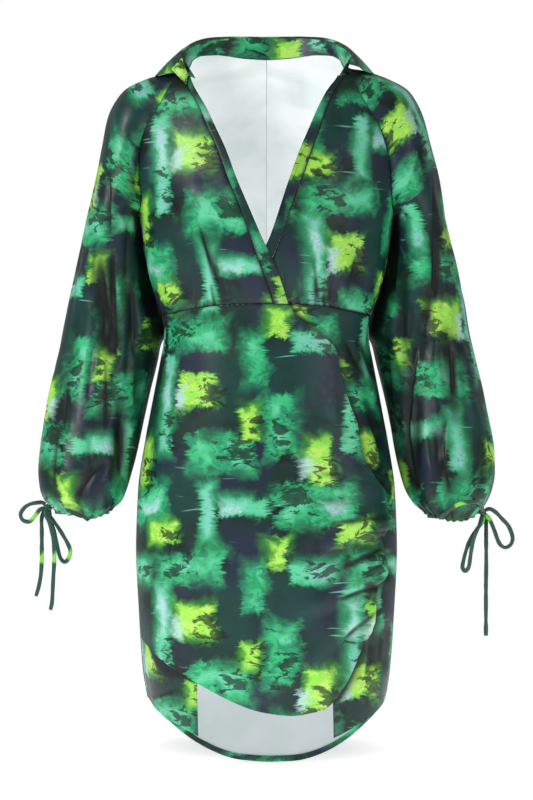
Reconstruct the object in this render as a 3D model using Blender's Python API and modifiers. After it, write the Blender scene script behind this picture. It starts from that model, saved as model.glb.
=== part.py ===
"""Collared wrap mini dress with full raglan sleeves, filled out as if worn.

Metres, +Z up, the front of the dress faces -Y and the viewer's right is +X.
The origin is the middle of the neck opening, where the wearer's neck and
shoulders carry the dress. Every table below is in millimetres.
"""
import math

import bmesh
import bpy
import numpy as np

MM = 0.001
WALL = 1.2            # cloth with its seam layers
GAP = 0.3             # clear space between two pieces at a seam
OVERLAP_LIFT = 2.4    # the front that lies over stands this far off the one below
UNDER_DROP = 3.2      # the left under front lies this far inside the overlapping skirt
SEAM_DROP = 1.5       # and this far at their shared side seam
ROUNDNESS = 2.2       # power of the body sections, where 2 is an ellipse
WAIST_SIDE = -302.0   # height of the waist seam at the side seams
WAIST_FRONT_RISE = 14.0
WAIST_BACK_RISE = 5.0
UNDERARM = -175.0     # height of the underarm point, where the raglan seams end
UNDERARM_GAP = 0.2    # the side seams end this far below the raglan seams
MEAN_RADIUS = 150.0   # turns a body angle into a length for the border curves
SIDE_SEAM_ANGLE = 0.0025   # pieces stop this far before the side seam, in radians
BACK_SEAM_ANGLE = 0.0016   # and this far before the centre back seam
HALF_NECK_GAP = 0.4   # x of the back halves' upper corners at the centre back
OVERLAP_FADE = (-48.0, 26.0)   # the lift grows from this body angle over so many degrees

# Body sections: height, half width, depth to the front, depth to the back
BODY = (
    (-890, 134, 100, 103),
    (-840, 143, 102, 106),
    (-808, 149, 103, 108),
    (-790, 152.5, 104, 109),
    (-751, 158.5, 106, 112),
    (-677, 163.5, 108, 116),
    (-600, 167.0, 110, 121),
    (-526, 164.5, 109, 121),
    (-465, 156, 106, 116),
    (-425, 148.5, 103, 109),
    (-383, 140.5, 99, 100),
    (-356, 135.3, 97, 95),
    (-339, 132.0, 95, 92),
    (-321, 130.8, 94, 90),
    (-297, 135, 96, 88),
    (-282, 141, 100, 87),
    (-252, 150, 107, 86),
    (-218, 157, 113, 87),
    (-175, 163.5, 115, 90),
    (-150, 170, 113, 92),
    (-120, 176, 107, 93),
    (-80, 176, 95, 92),
    (-36, 165, 78, 89),
    (0, 150, 54, 87),
    (9, 139, 36, 86),
    (16, 129, 18, 86),
    (30, 113, 6, 85),
    (40, 103, 4, 83),
)

# Slanting neck edge of the overlapping front: x, height
NECK_EDGE_OVER = ((-96, 3), (-75, -41), (-55, -84), (-31, -146), (-1, -215), (27, -288.5))
# Slanting neck edge of the front below
NECK_EDGE_UNDER = ((90, 3), (76, -18), (54, -65), (36, -110), (-1, -215), (-33, -288.5))
# Neck band: height, width across on the overlapping front, width on the front below
NECK_BAND = (
    (-290, 18, 15),
    (-215, 15, 15),
    (-146, 11, 16),
    (-84, 10, 15),
    (-41, 9, 11),
    (5, 7, 8),
)

# Front raglan seams from the neck to the underarm: x outwards, height
RAGLAN_LEFT = (
    (103, 9), (122, -8), (135, -33), (147, -48), (154, -66),
    (160, -86), (162, -118), (159, -150), (161, -166), (163.5, UNDERARM),
)
RAGLAN_RIGHT = (
    (103, 9), (115, -12), (128, -37), (140, -56), (149, -79),
    (156, -104), (158, -126), (159, -150), (161, -166), (163.5, UNDERARM),
)
# Back raglan seams
RAGLAN_BACK = (
    (95, 30), (108, 14), (122, -8), (136, -36), (150, -66),
    (158, -96), (161, -124), (159.5, -150), (161, -166), (163.5, UNDERARM),
)
# Back neck edge from the raglan seam to the centre back: x, height
NECK_BACK = ((95, 30), (85, 35), (61, 37), (28, 33), (0, 31.5))

# Free edge of the overlapping skirt, from the waist seam to the ruched side
SKIRT_FREE_EDGE = (
    (27, -288.5), (41, -307), (57, -319), (76, -334), (87, -348), (90, -366),
    (97, -396), (104, -419), (112, -441), (117, -472), (131, -503), (147, -526),
)
# Ruched side of the overlapping skirt: tips and hollows of its billows
SKIRT_RUCHED_EDGE = (
    (147, -526), (153, -545), (158, -564), (150, -580), (143, -593), (150, -607),
    (152, -628), (142, -645), (135, -662), (135, -682), (130, -702),
)
# Petal-curved hem of the overlapping skirt, from the ruched side to its lowest stretch
SKIRT_HEM_RIGHT = ((130, -702), (120, -717), (104, -757), (90, -783), (80, -794))
# The same hem from the left side seam to that stretch
SKIRT_HEM_LEFT = (
    (-159.5, -704), (-143, -731), (-131, -741), (-110, -753), (-83, -769), (-42, -790),
    (-16, -801), (4, -807), (30, -808.5), (46, -807.5), (69, -802), (80, -794),
)
SKIRT_STEPS = (8, 12, 4)   # rows down the free edge, the ruched side and the right hem
SKIRT_COLUMNS = 22
# Stretch of 0..1 across the overlapping skirt that has the given share of its columns
SKIRT_CROWDING = (0.62, 1.0, 0.5)
# Shirt-tail hem: x outwards on the hem's widest section, height on the back's left half,
# on its right half and on the under fronts
SHIRT_TAIL_HEM = (
    (0, -881, -881, -846),
    (45, -877, -879, -844),
    (75, -867, -871, -838),
    (98, -855, -860, -829),
    (117, -840, -846, -819),
    (134, -823, -828, -810),
    (146, -808, -811, -799),
    (152.5, -790, -790, -790),
)
# Free upright edges of the under fronts, from the waist seam down: x, height
UNDER_RIGHT_EDGE = ((-20, -289), (20, -400), (55, -520), (76, -640), (83, -760), (85, -836))
UNDER_LEFT_EDGE = ((-70, -291), (-78, -450), (-84, -620), (-89, -760), (-88, -834))

# Billows that run in from the ruched edge of the overlapping skirt:
# place down the whole right edge 0..1, place where it dies out, reach across, height, half width
BILLOWS = (
    (0.440, 0.46, 0.42, 6.0, 0.045),
    (0.610, 0.58, 0.46, 7.0, 0.050),
    (0.760, 0.70, 0.36, 5.0, 0.040),
)
RUCHE_STAND = 3.5     # the ruched part of the overlapping skirt stands this much further off
# Soft troughs in the overlapping skirt: x and height of each end, depth, half width
SKIRT_TROUGHS = (
    (150, -585, 60, -610, 4.5, 9),
    (140, -650, 50, -690, 4.0, 10),
    (140, -540, 40, -535, 2.5, 11),
    (110, -470, 20, -430, 2.0, 12),
    (-150, -560, -60, -600, 0.8, 14),
    (125, -690, 60, -760, 2.5, 10),
)
# Troughs of the right under front between the free edge and the side seam
UNDER_TROUGHS = (
    (97, -330, 128, -386, 3.0, 5),
    (112, -322, 141, -392, 2.5, 5),
    (128, -420, 150, -478, 3.0, 6),
    (120, -400, 146, -452, 2.0, 6),
    (158, -500, 140, -520, 1.6, 5),
    (163, -560, 147, -590, 1.8, 5),
    (163, -618, 146, -640, 2.2, 6),
    (140, -690, 136, -760, 3.0, 6),
    (156, -680, 150, -760, 2.0, 6),
)
# Troughs of the bodice fronts; the first is the long soft dart
BODICE_OVER_TROUGHS = (
    (-90, -165, -52, -286, 2.4, 5),
    (-70, -100, -20, -120, 2.0, 7),
    (-95, -130, -40, -160, 1.8, 8),
    (-130, -230, -100, -290, 1.6, 8),
)
BODICE_UNDER_TROUGHS = (
    (60, -250, 68, -288, 1.6, 5),
    (130, -215, 95, -285, 1.8, 8),
    (115, -90, 80, -150, 1.5, 9),
)
# Waist gathers of the bodice fronts: first x, last x, how many, how high they run, height
BODICE_GATHERS = {"over": (-92, -38, 4, 58, 1.6), "under": (12, 100, 6, 66, 1.6)}
# Columns of each bodice front, and the stretch of 0..1 across it that has most of them
BODICE_COLUMNS = {"over": (21, 0.30, 0.68), "under": (27, 0.10, 0.72)}
GATHER_SHARE = 0.62   # share of a bodice front's columns in that stretch
BACK_BODICE_COLUMNS = 8
UNDER_RIGHT_STEPS = (20, 10)   # rows and columns of the right under front
UNDER_LEFT_STEPS = 4           # columns of the left one, whose rows follow the skirt over it
SEAM_TURN = 10.0               # the left one sinks in over so many degrees from its side seam
BACK_SKIRT_GRID = (14, 19)
HEM_TURNING = (8.0, 0.9)       # height and wall of the turning inside the back hem
BACK_TROUGHS = ((-95, -420, -60, -640, 2.5, 14), (95, -420, 62, -640, 2.5, 14))

# Sleeve rings below the underarm, on each side: height, x of the inner side, x of the outer
# side, half depth, y of the middle, lean of the inner side in towards the back
SLEEVE = {
    "left": (
        (-177, 164.2, 229, 60, 4, 0),
        (-218, 157.6, 239, 62, 14, 7),
        (-252, 149.6, 247, 64, 21, 12),
        (-282, 139.2, 254, 65, 26, 14),
        (-321, 129.6, 262, 66, 28, 14),
        (-340, 137.0, 266, 66.5, 28, 12),
        (-358, 140.0, 270, 67, 26, 9),
        (-397, 149.0, 277, 68, 20, 5),
        (-435, 157.0, 285, 69, 12, 2),
        (-474, 165.0, 291, 68, 3, 0),
        (-500, 171.0, 292.5, 66, -4, 0),
        (-522, 177.0, 290, 61, -10, 0),
        (-536, 183.5, 285, 54, -13, 0),
        (-545, 194.0, 275, 41, -16, 0),
    ),
    "right": (
        (-177, 164.2, 229, 60, 4, 0),
        (-218, 157.6, 239, 62, 14, 7),
        (-252, 149.6, 247, 64, 21, 12),
        (-282, 139.2, 254, 65, 26, 14),
        (-321, 129.6, 261, 66, 28, 14),
        (-340, 137.0, 265, 66.5, 28, 12),
        (-358, 140.5, 269, 67, 26, 9),
        (-397, 149.5, 278, 68, 20, 5),
        (-435, 157.5, 285, 69, 12, 2),
        (-474, 164.0, 291, 68, 3, 0),
        (-500, 169.5, 291.5, 66, -4, 0),
        (-525, 176.0, 288, 61, -10, 0),
        (-542, 185.5, 281, 52, -13, 0),
        (-554, 199.0, 271, 38, -16, 0),
    ),
}
# Ridge of the sleeve from the neck over the shoulder: x outwards, y, height
SHOULDER_RIDGE = (
    (100, 8, 15), (112, 6, 11), (126, 4, 9), (142, 2, 6), (160, 0, -0.5), (181, -2, -13),
    (192.5, -2, -29), (201, -2, -48), (209, -2, -79), (216, -2, -111), (225, -1, -157),
    (229, 0, -177),
)
RAGLAN_STEPS = 8
SIDE_STEPS = 5
# Places of the sleeve's rings from the underarm (0) to the cuff (1)
SLEEVE_RINGS = (0, 0.06, 0.12, 0.20, 0.29, 0.39, 0.48, 0.58, 0.69, 0.80, 0.90, 0.965, 1)
SLEEVE_COLUMNS = 33
CUFF_GATHERS = 11
GATHER_HEIGHT = 2.4
GATHER_RUN = 70.0     # the cuff's gathers fade out this far above it
CREASE_GAP = 1.1      # extra room of the back raglan seam near the neck, where it creases
CASING_HEIGHT = 9.0
NECK_SPAN = 62.0      # half the angle that the sleeve's cap spans at the neck, in degrees
CAP_HALF_DEPTHS = ((0.0, 43), (0.5, 53), (1.0, 60))   # down the raglan seams: place, half depth
INNER_SIDE = (0.9, 20.0)   # folds lose this share on the inner side, within so many degrees
# Long sleeve folds: angle from the outer side towards the front and height of the top end,
# the same of the low end, depth, half width in degrees
SLEEVE_FOLDS = {
    "left": (
        (69, -205, 92, -370, 5.0, 11),
        (99, -240, 106, -372, 3.0, 9),
        (122, -240, 118, -352, 3.5, 10),
        (95, -372, 106, -450, 3.0, 10),
        (112, -380, 150, -520, 4.0, 11),
        (113, -480, 82, -536, 3.5, 10),
        (40, -260, 55, -480, 2.5, 12),
        (-62, -210, -84, -420, 4.5, 12),
        (-112, -260, -104, -430, 4.0, 12),
        (-70, -420, -92, -530, 3.5, 12),
        (-138, -380, -128, -510, 3.0, 12),
    ),
    "right": (
        (70, -190, 79, -300, 4.0, 10),
        (90, -285, 100, -372, 3.5, 10),
        (60, -300, 71, -410, 4.0, 11),
        (110, -375, 140, -535, 4.5, 11),
        (67, -380, 74, -450, 3.0, 10),
        (90, -480, 92, -536, 3.0, 10),
        (125, -230, 120, -360, 3.0, 10),
        (-66, -230, -80, -430, 4.5, 12),
        (-108, -240, -110, -410, 4.0, 12),
        (-88, -430, -76, -525, 3.5, 12),
        (-136, -360, -130, -500, 3.0, 12),
    ),
}

# Collar, from the front end (0) to the centre back (1): place, neck seam x y z,
# roll line x y z, swell of the roll outwards and up
COLLAR = (
    (0.00, 94, -41, 4, 107, -36, 25, 3.4, 0.8),
    (0.10, 103, -26, 9, 109, -23, 30.5, 3.0, 1.5),
    (0.20, 103, -8, 13, 106, -8, 36, 2.6, 1.8),
    (0.32, 101, 12, 17, 100, 14, 42, 2.4, 2.4),
    (0.48, 95, 46, 30, 88, 44, 50, 2.6, 3.6),
    (0.64, 74, 62, 37, 69, 68, 57, 3.2, 3.0),
    (0.82, 36, 80, 34, 34, 84, 61, 2.8, 1.0),
    (1.00, 0, 83, 31.5, 0, 87, 61, 2.6, 0.6),
)
# Lower edge of the collar's leaf on each side: place, x outwards, y, height
COLLAR_LEAF = {
    "left": (
        (0.00, 118, -41, 9), (0.10, 130, -25, 8), (0.20, 139, -7, 7.5), (0.32, 140, 18, 9),
        (0.48, 122, 58, 21), (0.64, 90, 84, 29), (0.82, 44, 102, 32), (1.00, 0, 108, 31),
    ),
    "right": (
        (0.00, 114, -37, 18), (0.10, 123, -22, 12), (0.20, 132, -5, 9.5), (0.32, 137, 18, 9.5),
        (0.48, 122, 58, 21), (0.64, 90, 84, 29), (0.82, 44, 102, 32), (1.00, 0, 108, 31),
    ),
}
COLLAR_POINTS = 25
COLLAR_MIDDLE = (0.0, 10.0, 30.0)   # a point inside the neck
COLLAR_SEAM_LIFT = 1.3   # the stand starts this far above the neck seam
ROLL_GAP = 0.9           # and stops this far below the roll line
LEAF_START = 0.8         # the leaf starts this far above that line
LEAF_SWELL = 1.5         # and stands out this far at its middle

TIE_RADIUS = 1.9
KNOT_RADIUS = 4.5
KNOT_SEAT = 4.95      # the cords start this far from the middle of their knot
# Cuff ties on each side: the knot's place, then the route of each free cord as seen from the
# knot, where a loop leaves and comes back and a tail only leaves
TIES = {
    "left": {
        "knot": (-278.6, -23, -546),
        "loop_outer": (
            (-8, -1, 5.9), (-20, -3, 4.5), (-29, -3, 0), (-35, -3, -10), (-32, -2, -17),
            (-25, -1, -19), (-17, -1.8, -12), (-9.5, -1.5, -2.7),
        ),
        "loop_inner": (
            (1, 2.5, -9.6), (7, 3, -18), (14, 3.5, -28), (20, 4, -38), (25, 5, -47),
            (28.5, 5, -57), (25.5, 4, -67), (21, 4, -70.5), (15.5, 4.5, -65), (12, 5.5, -52),
            (8, 7, -33), (2.5, 8.5, -16), (1, 9.2, -3.8),
        ),
        "tail_front": (
            (-3, -6.5, -7), (2, -8, -20), (7, -8, -40), (8.5, -8, -62), (7, -8, -92),
            (5.5, -8, -121), (3.5, -8, -131),
        ),
        "tail_outer": (
            (-6, 4.5, -6.6), (-8.5, 4, -18), (-8, 2.5, -33), (-8, 2, -62), (-9, 2, -84),
            (-12, 2, -102), (-15.5, 2, -114),
        ),
    },
    "right": {
        "knot": (275.2, -26, -553),
        "loop_outer": (
            (7.7, 0, -6.4), (14.5, 1, -21), (22.8, 3, -41), (29.3, 4, -45), (36.3, 4, -41),
            (38.8, 4, -34), (34.3, 3, -19), (24, 1, -7), (15.5, -0.5, 1.5), (8.5, -2, 4.8),
        ),
        "loop_inner": (
            (0.5, 2.5, -9.7), (-6, 2, -20), (-17, 2, -38), (-24, 2.5, -61), (-25.5, 2.5, -70),
            (-22, 2, -75), (-17.5, 0.5, -70), (-15, -2, -53), (-12, -5, -35), (-6, -8, -20),
            (-1.5, -5.8, -8),
        ),
        "tail_front": (
            (4.5, 7.5, -4.8), (5, 6.5, -16), (4.8, 2, -37), (4.8, -1, -63), (4.3, -3, -97),
            (4.3, -3, -127), (4.3, -3, -157),
        ),
        "tail_over": (
            (0, -9.5, 3), (-2.2, -20, 8), (-9.2, -36.5, 14.5), (-25.2, -50.5, 14),
            (-39.2, -48, 8), (-49.2, -37, 0), (-56.2, -30, -7),
        ),
    },
}
TIE_POINT_STEP = 12.0

PRINT_GREEN = (0.03, 0.20, 0.10, 1.0)   # mean colour of the printed cloth


def smooth(keys, values, at):
    """Cubic curve through the values that never overshoots between two of them."""
    keys = np.asarray(keys, float)
    values = np.asarray(values, float)
    at = np.clip(np.asarray(at, float), keys[0], keys[-1])
    step = np.diff(keys)
    slope = np.diff(values) / step
    same_way = slope[:-1] * slope[1:] > 0
    total = np.where(same_way, slope[:-1] + slope[1:], 1.0)
    inner = np.where(same_way, 2.0 * slope[:-1] * slope[1:] / total, 0.0)
    tangent = np.concatenate([[slope[0]], inner, [slope[-1]]])
    i = np.clip(np.searchsorted(keys, at, side="right") - 1, 0, len(keys) - 2)
    t = (at - keys[i]) / step[i]
    start = (1 + 2 * t) * (1 - t) ** 2 * values[i] + t * (1 - t) ** 2 * step[i] * tangent[i]
    end = t * t * (3 - 2 * t) * values[i + 1] - t * t * (1 - t) * step[i] * tangent[i + 1]
    return start + end


def table_column(table, column, at):
    """Smooth value of one column of a table whose first column is the key."""
    rows = sorted(table)
    return smooth([row[0] for row in rows], [row[column] for row in rows], at)


def along(points, at):
    """Points at fractions 0..1 of the length of a smooth path through the given points."""
    points = np.asarray(points, float)
    chord = np.linalg.norm(np.diff(points, axis=0), axis=1)
    place = np.concatenate([[0.0], np.cumsum(chord)])
    place /= place[-1]
    return np.stack([smooth(place, column, at) for column in points.T], axis=-1)


def ease(value):
    """Soft step from 0 to 1."""
    value = np.clip(value, 0.0, 1.0)
    return value * value * (3.0 - 2.0 * value)


def body_sizes(z):
    """Half width, front depth and back depth of the body form at a height."""
    return [table_column(BODY, column, z) for column in (1, 2, 3)]


def body_angle(x, z, back=False):
    """Angle round the body of a point seen at x: 0 at centre front, 90 degrees at +X."""
    half = body_sizes(z)[0]
    sine = np.clip(np.abs(x) / half, 0.0, 1.0) ** (ROUNDNESS / 2)
    angle = np.arcsin(sine)
    if back:
        angle = math.pi - angle
    return np.sign(x) * angle


def signed_power(value, power):
    return np.sign(value) * np.abs(value) ** power


def body_point(angle, z, out):
    """Point of the body form at an angle and a height, moved out level and square to it."""
    half, front, back = body_sizes(z)
    cosine = np.cos(angle)
    depth = np.where(cosine > 0, front, back)
    x = half * signed_power(np.sin(angle), 2 / ROUNDNESS)
    y = -depth * signed_power(cosine, 2 / ROUNDNESS)
    way_x = signed_power(x / half, ROUNDNESS - 1) / half
    way_y = signed_power(y / depth, ROUNDNESS - 1) / depth
    way = np.stack([way_x, way_y, 0.0 * x], axis=-1)
    way /= np.linalg.norm(way, axis=-1, keepdims=True)
    return np.stack([x, y, z + 0 * x], axis=-1) + way * np.asarray(out)[..., None]


def seen_x(angle, z):
    """The x of a point of the body form, for folds that are placed as seen from the front."""
    return body_sizes(z)[0] * signed_power(np.sin(angle), 2 / ROUNDNESS)


def troughs(x, z, rows):
    """Depth of soft troughs along slanting lines, deepest in the middle of each."""
    depth = 0.0 * x
    for x_start, z_start, x_end, z_end, deep, half_width in rows:
        line_x = x_end - x_start
        line_z = z_end - z_start
        length = math.hypot(line_x, line_z)
        t = ((x - x_start) * line_x + (z - z_start) * line_z) / length ** 2
        across = ((x - x_start) * line_z - (z - z_start) * line_x) / length
        fade = ease(t / 0.3) * ease((1 - t) / 0.3)
        depth = depth + deep * fade * np.exp(-(across / half_width) ** 2)
    return depth


def waist_height(angle):
    """Height of the waist seam, a little higher at centre front and centre back."""
    cosine = np.cos(angle)
    rise = np.where(cosine > 0, WAIST_FRONT_RISE, WAIST_BACK_RISE)
    return WAIST_SIDE + rise * cosine ** 2


def overlap_lift(angle):
    """How far the overlapping front stands off the form: nothing at its side seam."""
    start, turn = np.radians(OVERLAP_FADE)
    return OVERLAP_LIFT * ease((angle - start) / turn)


def patch(left, right, bottom, top, v, u):
    """Grid of flat points spread between four border curves, each a function of 0..1."""
    low, high = bottom(u)[None], top(u)[None]
    near, far = left(v)[:, None], right(v)[:, None]
    u = u[None, :, None]
    v = v[:, None, None]
    corners = (1 - u) * (1 - v) * low[:, :1] + u * (1 - v) * low[:, -1:]
    corners = corners + (1 - u) * v * high[:, :1] + u * v * high[:, -1:]
    return (1 - v) * low + v * high + (1 - u) * near + u * far - corners


def border(points, back=False):
    """Border curve in body angle and height through points given as x and height."""
    flat = np.asarray(points, float)
    angles = body_angle(flat[:, 0], flat[:, 1], back)
    shaped = np.stack([angles * MEAN_RADIUS, flat[:, 1]], axis=-1)

    def curve(at):
        return along(shaped, at) / np.array([MEAN_RADIUS, 1.0])

    return curve


def from_waist(points, shift):
    """Edge points whose first one, at the waist seam, is set to the seam's height."""
    flat = np.array(points, float)
    flat[0, 1] = waist_height(body_angle(flat[0, 0], flat[0, 1])) + shift
    return flat


def straight(start, end):
    """Straight border curve between two points in body angle and height."""
    start = np.asarray(start, float)
    end = np.asarray(end, float)

    def curve(at):
        return start + (end - start) * np.asarray(at)[:, None]

    return curve


def waist_border(start_angle, end_angle, shift):
    """Border curve along the waist seam."""

    def curve(at):
        angle = start_angle + (end_angle - start_angle) * np.asarray(at)
        return np.stack([angle, waist_height(angle) + shift], axis=-1)

    return curve


def joined(first, second, share):
    """Two border curves end to end; the first takes the given share of 0..1."""

    def curve(at):
        at = np.asarray(at)[:, None]
        start = first(np.clip(at[:, 0] / share, 0, 1))
        rest = second(np.clip((at[:, 0] - share) / (1 - share), 0, 1))
        return np.where(at <= share, start, rest)

    return curve


def material(name):
    """Plain cloth material in the print's mean colour."""
    made = bpy.data.materials.new(name)
    made.use_nodes = True
    shader = made.node_tree.nodes["Principled BSDF"]
    shader.inputs["Base Color"].default_value = PRINT_GREEN
    shader.inputs["Roughness"].default_value = 0.5
    shader.inputs["Metallic"].default_value = 0.0
    return made


def add_object(name, mesh):
    """New object with its own material in the dress's collection."""
    made = bpy.data.objects.new(name, mesh)
    mesh.materials.append(material(name))
    bpy.data.collections["Collared wrap dress"].objects.link(made)
    return made


def cloth(name, grid, inside, wall=WALL):
    """Cloth piece from a grid of outer points in millimetres, with its wall on the inside.

    Columns that come back to the same point are welded, which closes a tube.
    inside is a point of the piece's hollow, and its faces turn away from it.
    """
    rows, columns = grid.shape[:2]
    index = np.arange(rows * columns).reshape(rows, columns)
    corners = (index[:-1, :-1], index[:-1, 1:], index[1:, 1:], index[1:, :-1])
    quads = np.stack(corners, axis=-1).reshape(-1, 4)
    mesh = bpy.data.meshes.new(name)
    mesh.from_pydata((grid.reshape(-1, 3) * MM).tolist(), [], quads.tolist())
    form = bmesh.new()
    form.from_mesh(mesh)
    bmesh.ops.remove_doubles(form, verts=form.verts, dist=0.00002)
    form.normal_update()
    middle = np.asarray(inside) * MM
    facing = 0.0
    for face in form.faces:
        away = np.array(face.calc_center_median()) - middle
        facing += float(np.dot(np.array(face.normal), away)) * face.calc_area()
    if facing < 0:
        bmesh.ops.reverse_faces(form, faces=form.faces)
    form.to_mesh(mesh)
    form.free()
    mesh.shade_smooth()
    made = add_object(name, mesh)
    shell = made.modifiers.new("Wall", "SOLIDIFY")
    shell.thickness = wall * MM
    shell.offset = -1.0
    return made


def gathers_height(x, z, seam, sizes):
    """Height of the gathers that run up from the waist seam into a bodice front."""
    first, last, count, run, height = sizes
    across = (x - first) / (last - first)
    inside = ease(across / 0.12) * ease((1 - across) / 0.12)
    fade = ease(1 - (z - seam) / run)
    return height * inside * fade * (np.cos(2 * math.pi * count * across) - 1) / 2


def body_cloth(name, flat, out, wall=WALL):
    """Cloth piece on the body form from a grid of angle and height."""
    centre = (0.0, 0.0, float(flat[..., 1].mean()))
    return cloth(name, body_point(flat[..., 0], flat[..., 1], out), centre, wall)


def shifted(points, across=0.0):
    """Edge points moved across by a width, which may be a number for each point."""
    flat = np.asarray(points, float)
    return np.stack([flat[:, 0] + across, flat[:, 1]], axis=-1)


def raglan_border(side, back, inset, crease=0.0):
    """Raglan seam in body angle and height from the neck down, moved off the seam."""
    rows = RAGLAN_BACK if back else (RAGLAN_LEFT if side < 0 else RAGLAN_RIGHT)
    points = np.asarray(rows, float)
    points[:, 0] *= side
    curve = border(points, back)
    reach = np.array([MEAN_RADIUS, 1.0])

    def moved(at):
        at = np.asarray(at, float)
        step = 0.002
        before = curve(np.clip(at - step, 0, 1)) * reach
        after = curve(np.clip(at + step, 0, 1)) * reach
        way = after - before
        way /= np.linalg.norm(way, axis=-1, keepdims=True)
        turn = side if back else -side
        square = np.stack([way[:, 1], -way[:, 0]], axis=-1) * turn
        off = inset + crease * ease(1 - at / 0.4)
        return (curve(at) * reach + square * off[:, None]) / reach

    return moved


def crowded(count, first, last, share):
    """Places 0..1 with the given share of their steps between first and last."""
    before = (1 - share) * first / (first + 1 - last)
    steps = [0.0, before, before + share, 1.0]
    return np.interp(np.linspace(0, 1, count), steps, [0.0, first, last, 1.0])


def side_border(side, back, raglan):
    """Side seam of a bodice piece from the waist up, and its raglan seam on to the neck."""
    side_angle = side * (math.pi / 2 + (SIDE_SEAM_ANGLE if back else -SIDE_SEAM_ANGLE))
    top = raglan(np.array([1.0]))[0, 1] - UNDERARM_GAP
    side_seam = straight((side_angle, WAIST_SIDE + GAP / 2), (side_angle, top))

    def raglan_up(at):
        return raglan(1 - np.asarray(at))

    return joined(side_seam, raglan_up, SIDE_STEPS / (SIDE_STEPS + RAGLAN_STEPS)), side_angle


def bodice_front(layer, side, edge, band_column, lift, trough_rows):
    """One bodice front, over or under, and the band along its slanting neck edge."""
    edge = np.asarray(edge, float)[::-1]
    band = table_column(NECK_BAND, band_column, edge[:, 1]) * side
    low = GAP / 2
    inner = border(from_waist(shifted(edge, band + side * GAP / 2), low))
    corner_angle = inner(np.array([0.0]))[0, 0]
    raglan = raglan_border(side, False, -GAP / 2)
    outer, side_angle = side_border(side, False, raglan)
    v = np.linspace(0, 1, SIDE_STEPS + RAGLAN_STEPS + 1)
    columns, first, last = BODICE_COLUMNS[layer]
    u = crowded(columns, first, last, GATHER_SHARE)
    flat = patch(
        inner,
        outer,
        waist_border(corner_angle, side_angle, low),
        straight(inner(np.array([1.0]))[0], raglan(np.array([0.0]))[0]),
        v,
        u,
    )
    x = seen_x(flat[..., 0], flat[..., 1])
    seam = waist_height(flat[..., 0])
    fold = gathers_height(x, flat[..., 1], seam, BODICE_GATHERS[layer])
    fold = fold - troughs(x, flat[..., 1], trough_rows)
    edge_fade = ease(u / 0.1) * ease((1 - u) / 0.1)
    body_cloth("bodice_" + layer, flat, lift(flat[..., 0]) + fold * edge_fade[None, :])

    outer_edge = border(from_waist(shifted(edge, band - side * GAP / 2), low))
    inner_edge = border(from_waist(edge, low))
    strip = patch(
        inner_edge,
        outer_edge,
        straight(inner_edge(np.array([0.0]))[0], outer_edge(np.array([0.0]))[0]),
        straight(inner_edge(np.array([1.0]))[0], outer_edge(np.array([1.0]))[0]),
        v,
        np.linspace(0, 1, 3),
    )
    body_cloth("neck_band_" + layer, strip, lift(strip[..., 0]))


def no_lift(angle):
    """The front that lies below stays on the form."""
    return 0.0 * angle


def bodice_back(side):
    """Half of the back bodice, from the centre back seam to the side and raglan seams."""
    name = "bodice_back_right" if side > 0 else "bodice_back_left"
    centre_angle = side * (math.pi - BACK_SEAM_ANGLE)
    outer, side_angle = side_border(side, True, raglan_border(side, True, -GAP / 2))
    top_height = NECK_BACK[-1][1]
    centre = straight((centre_angle, WAIST_SIDE + WAIST_BACK_RISE), (centre_angle, top_height))
    neck = np.asarray(NECK_BACK, float)[::-1]
    neck[:, 0] *= side
    neck[0, 0] = side * HALF_NECK_GAP
    flat = patch(
        centre,
        outer,
        waist_border(centre_angle, side_angle, GAP / 2),
        border(neck, True),
        np.linspace(0, 1, SIDE_STEPS + RAGLAN_STEPS + 1),
        np.linspace(0, 1, BACK_BODICE_COLUMNS),
    )
    body_cloth(name, flat, 0.0 * flat[..., 0])


def skirt_over():
    """Overlapping front skirt with its ruched side and petal-curved hem."""
    side_angle = -(math.pi / 2 - SIDE_SEAM_ANGLE)
    free_edge = border(from_waist(SKIRT_FREE_EDGE, -GAP / 2))
    ruched = border(SKIRT_RUCHED_EDGE)
    hem_left = border(SKIRT_HEM_LEFT)
    hem_right = border(SKIRT_HEM_RIGHT)
    free_steps, ruched_steps, hem_steps = SKIRT_STEPS
    total = free_steps + ruched_steps + hem_steps
    lower = joined(ruched, hem_right, ruched_steps / (ruched_steps + hem_steps))
    right_down = joined(free_edge, lower, free_steps / total)

    def right(at):
        return right_down(1 - np.asarray(at))

    start = free_edge(np.array([0.0]))[0]
    low_corner = (side_angle, SKIRT_HEM_LEFT[0][1])
    hem_start = hem_left(np.array([0.0]))[0]

    def hem_from_seam(at):
        pull = (1 - ease(np.asarray(at) / 0.15))[:, None]
        return hem_left(at) + pull * (np.array(low_corner) - hem_start)

    v = np.linspace(0, 1, total + 1)
    u = crowded(SKIRT_COLUMNS, *SKIRT_CROWDING)
    flat = patch(
        straight(low_corner, (side_angle, WAIST_SIDE - GAP / 2)),
        right,
        hem_from_seam,
        waist_border(side_angle, start[0], -GAP / 2),
        v,
        u,
    )
    u = u[None, :]
    down = 1 - v[:, None]
    base = RUCHE_STAND * ease((u - 0.55) / 0.25) * ease(down / 0.25) * ease((1 - down) / 0.1)
    swell = base
    for place, far_place, reach, height, half_width in BILLOWS:
        inwards = np.clip((1 - u) / reach, 0, 1)
        centre = place + (far_place - place) * inwards
        swell = swell + height * ease(1 - inwards) * np.exp(-((down - centre) / half_width) ** 2)
    x = seen_x(flat[..., 0], flat[..., 1])
    hollow = troughs(x, flat[..., 1], SKIRT_TROUGHS) * ease(np.minimum(u, down) / 0.08)
    lift = overlap_lift(flat[..., 0])
    # Only right of the centre does another layer lie close below and limit the hollows
    room = np.where(flat[..., 0] < math.radians(-5), hollow, lift + base - WALL - 2 * GAP)
    body_cloth("skirt_over", flat, lift + swell - np.minimum(hollow, room))


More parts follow.
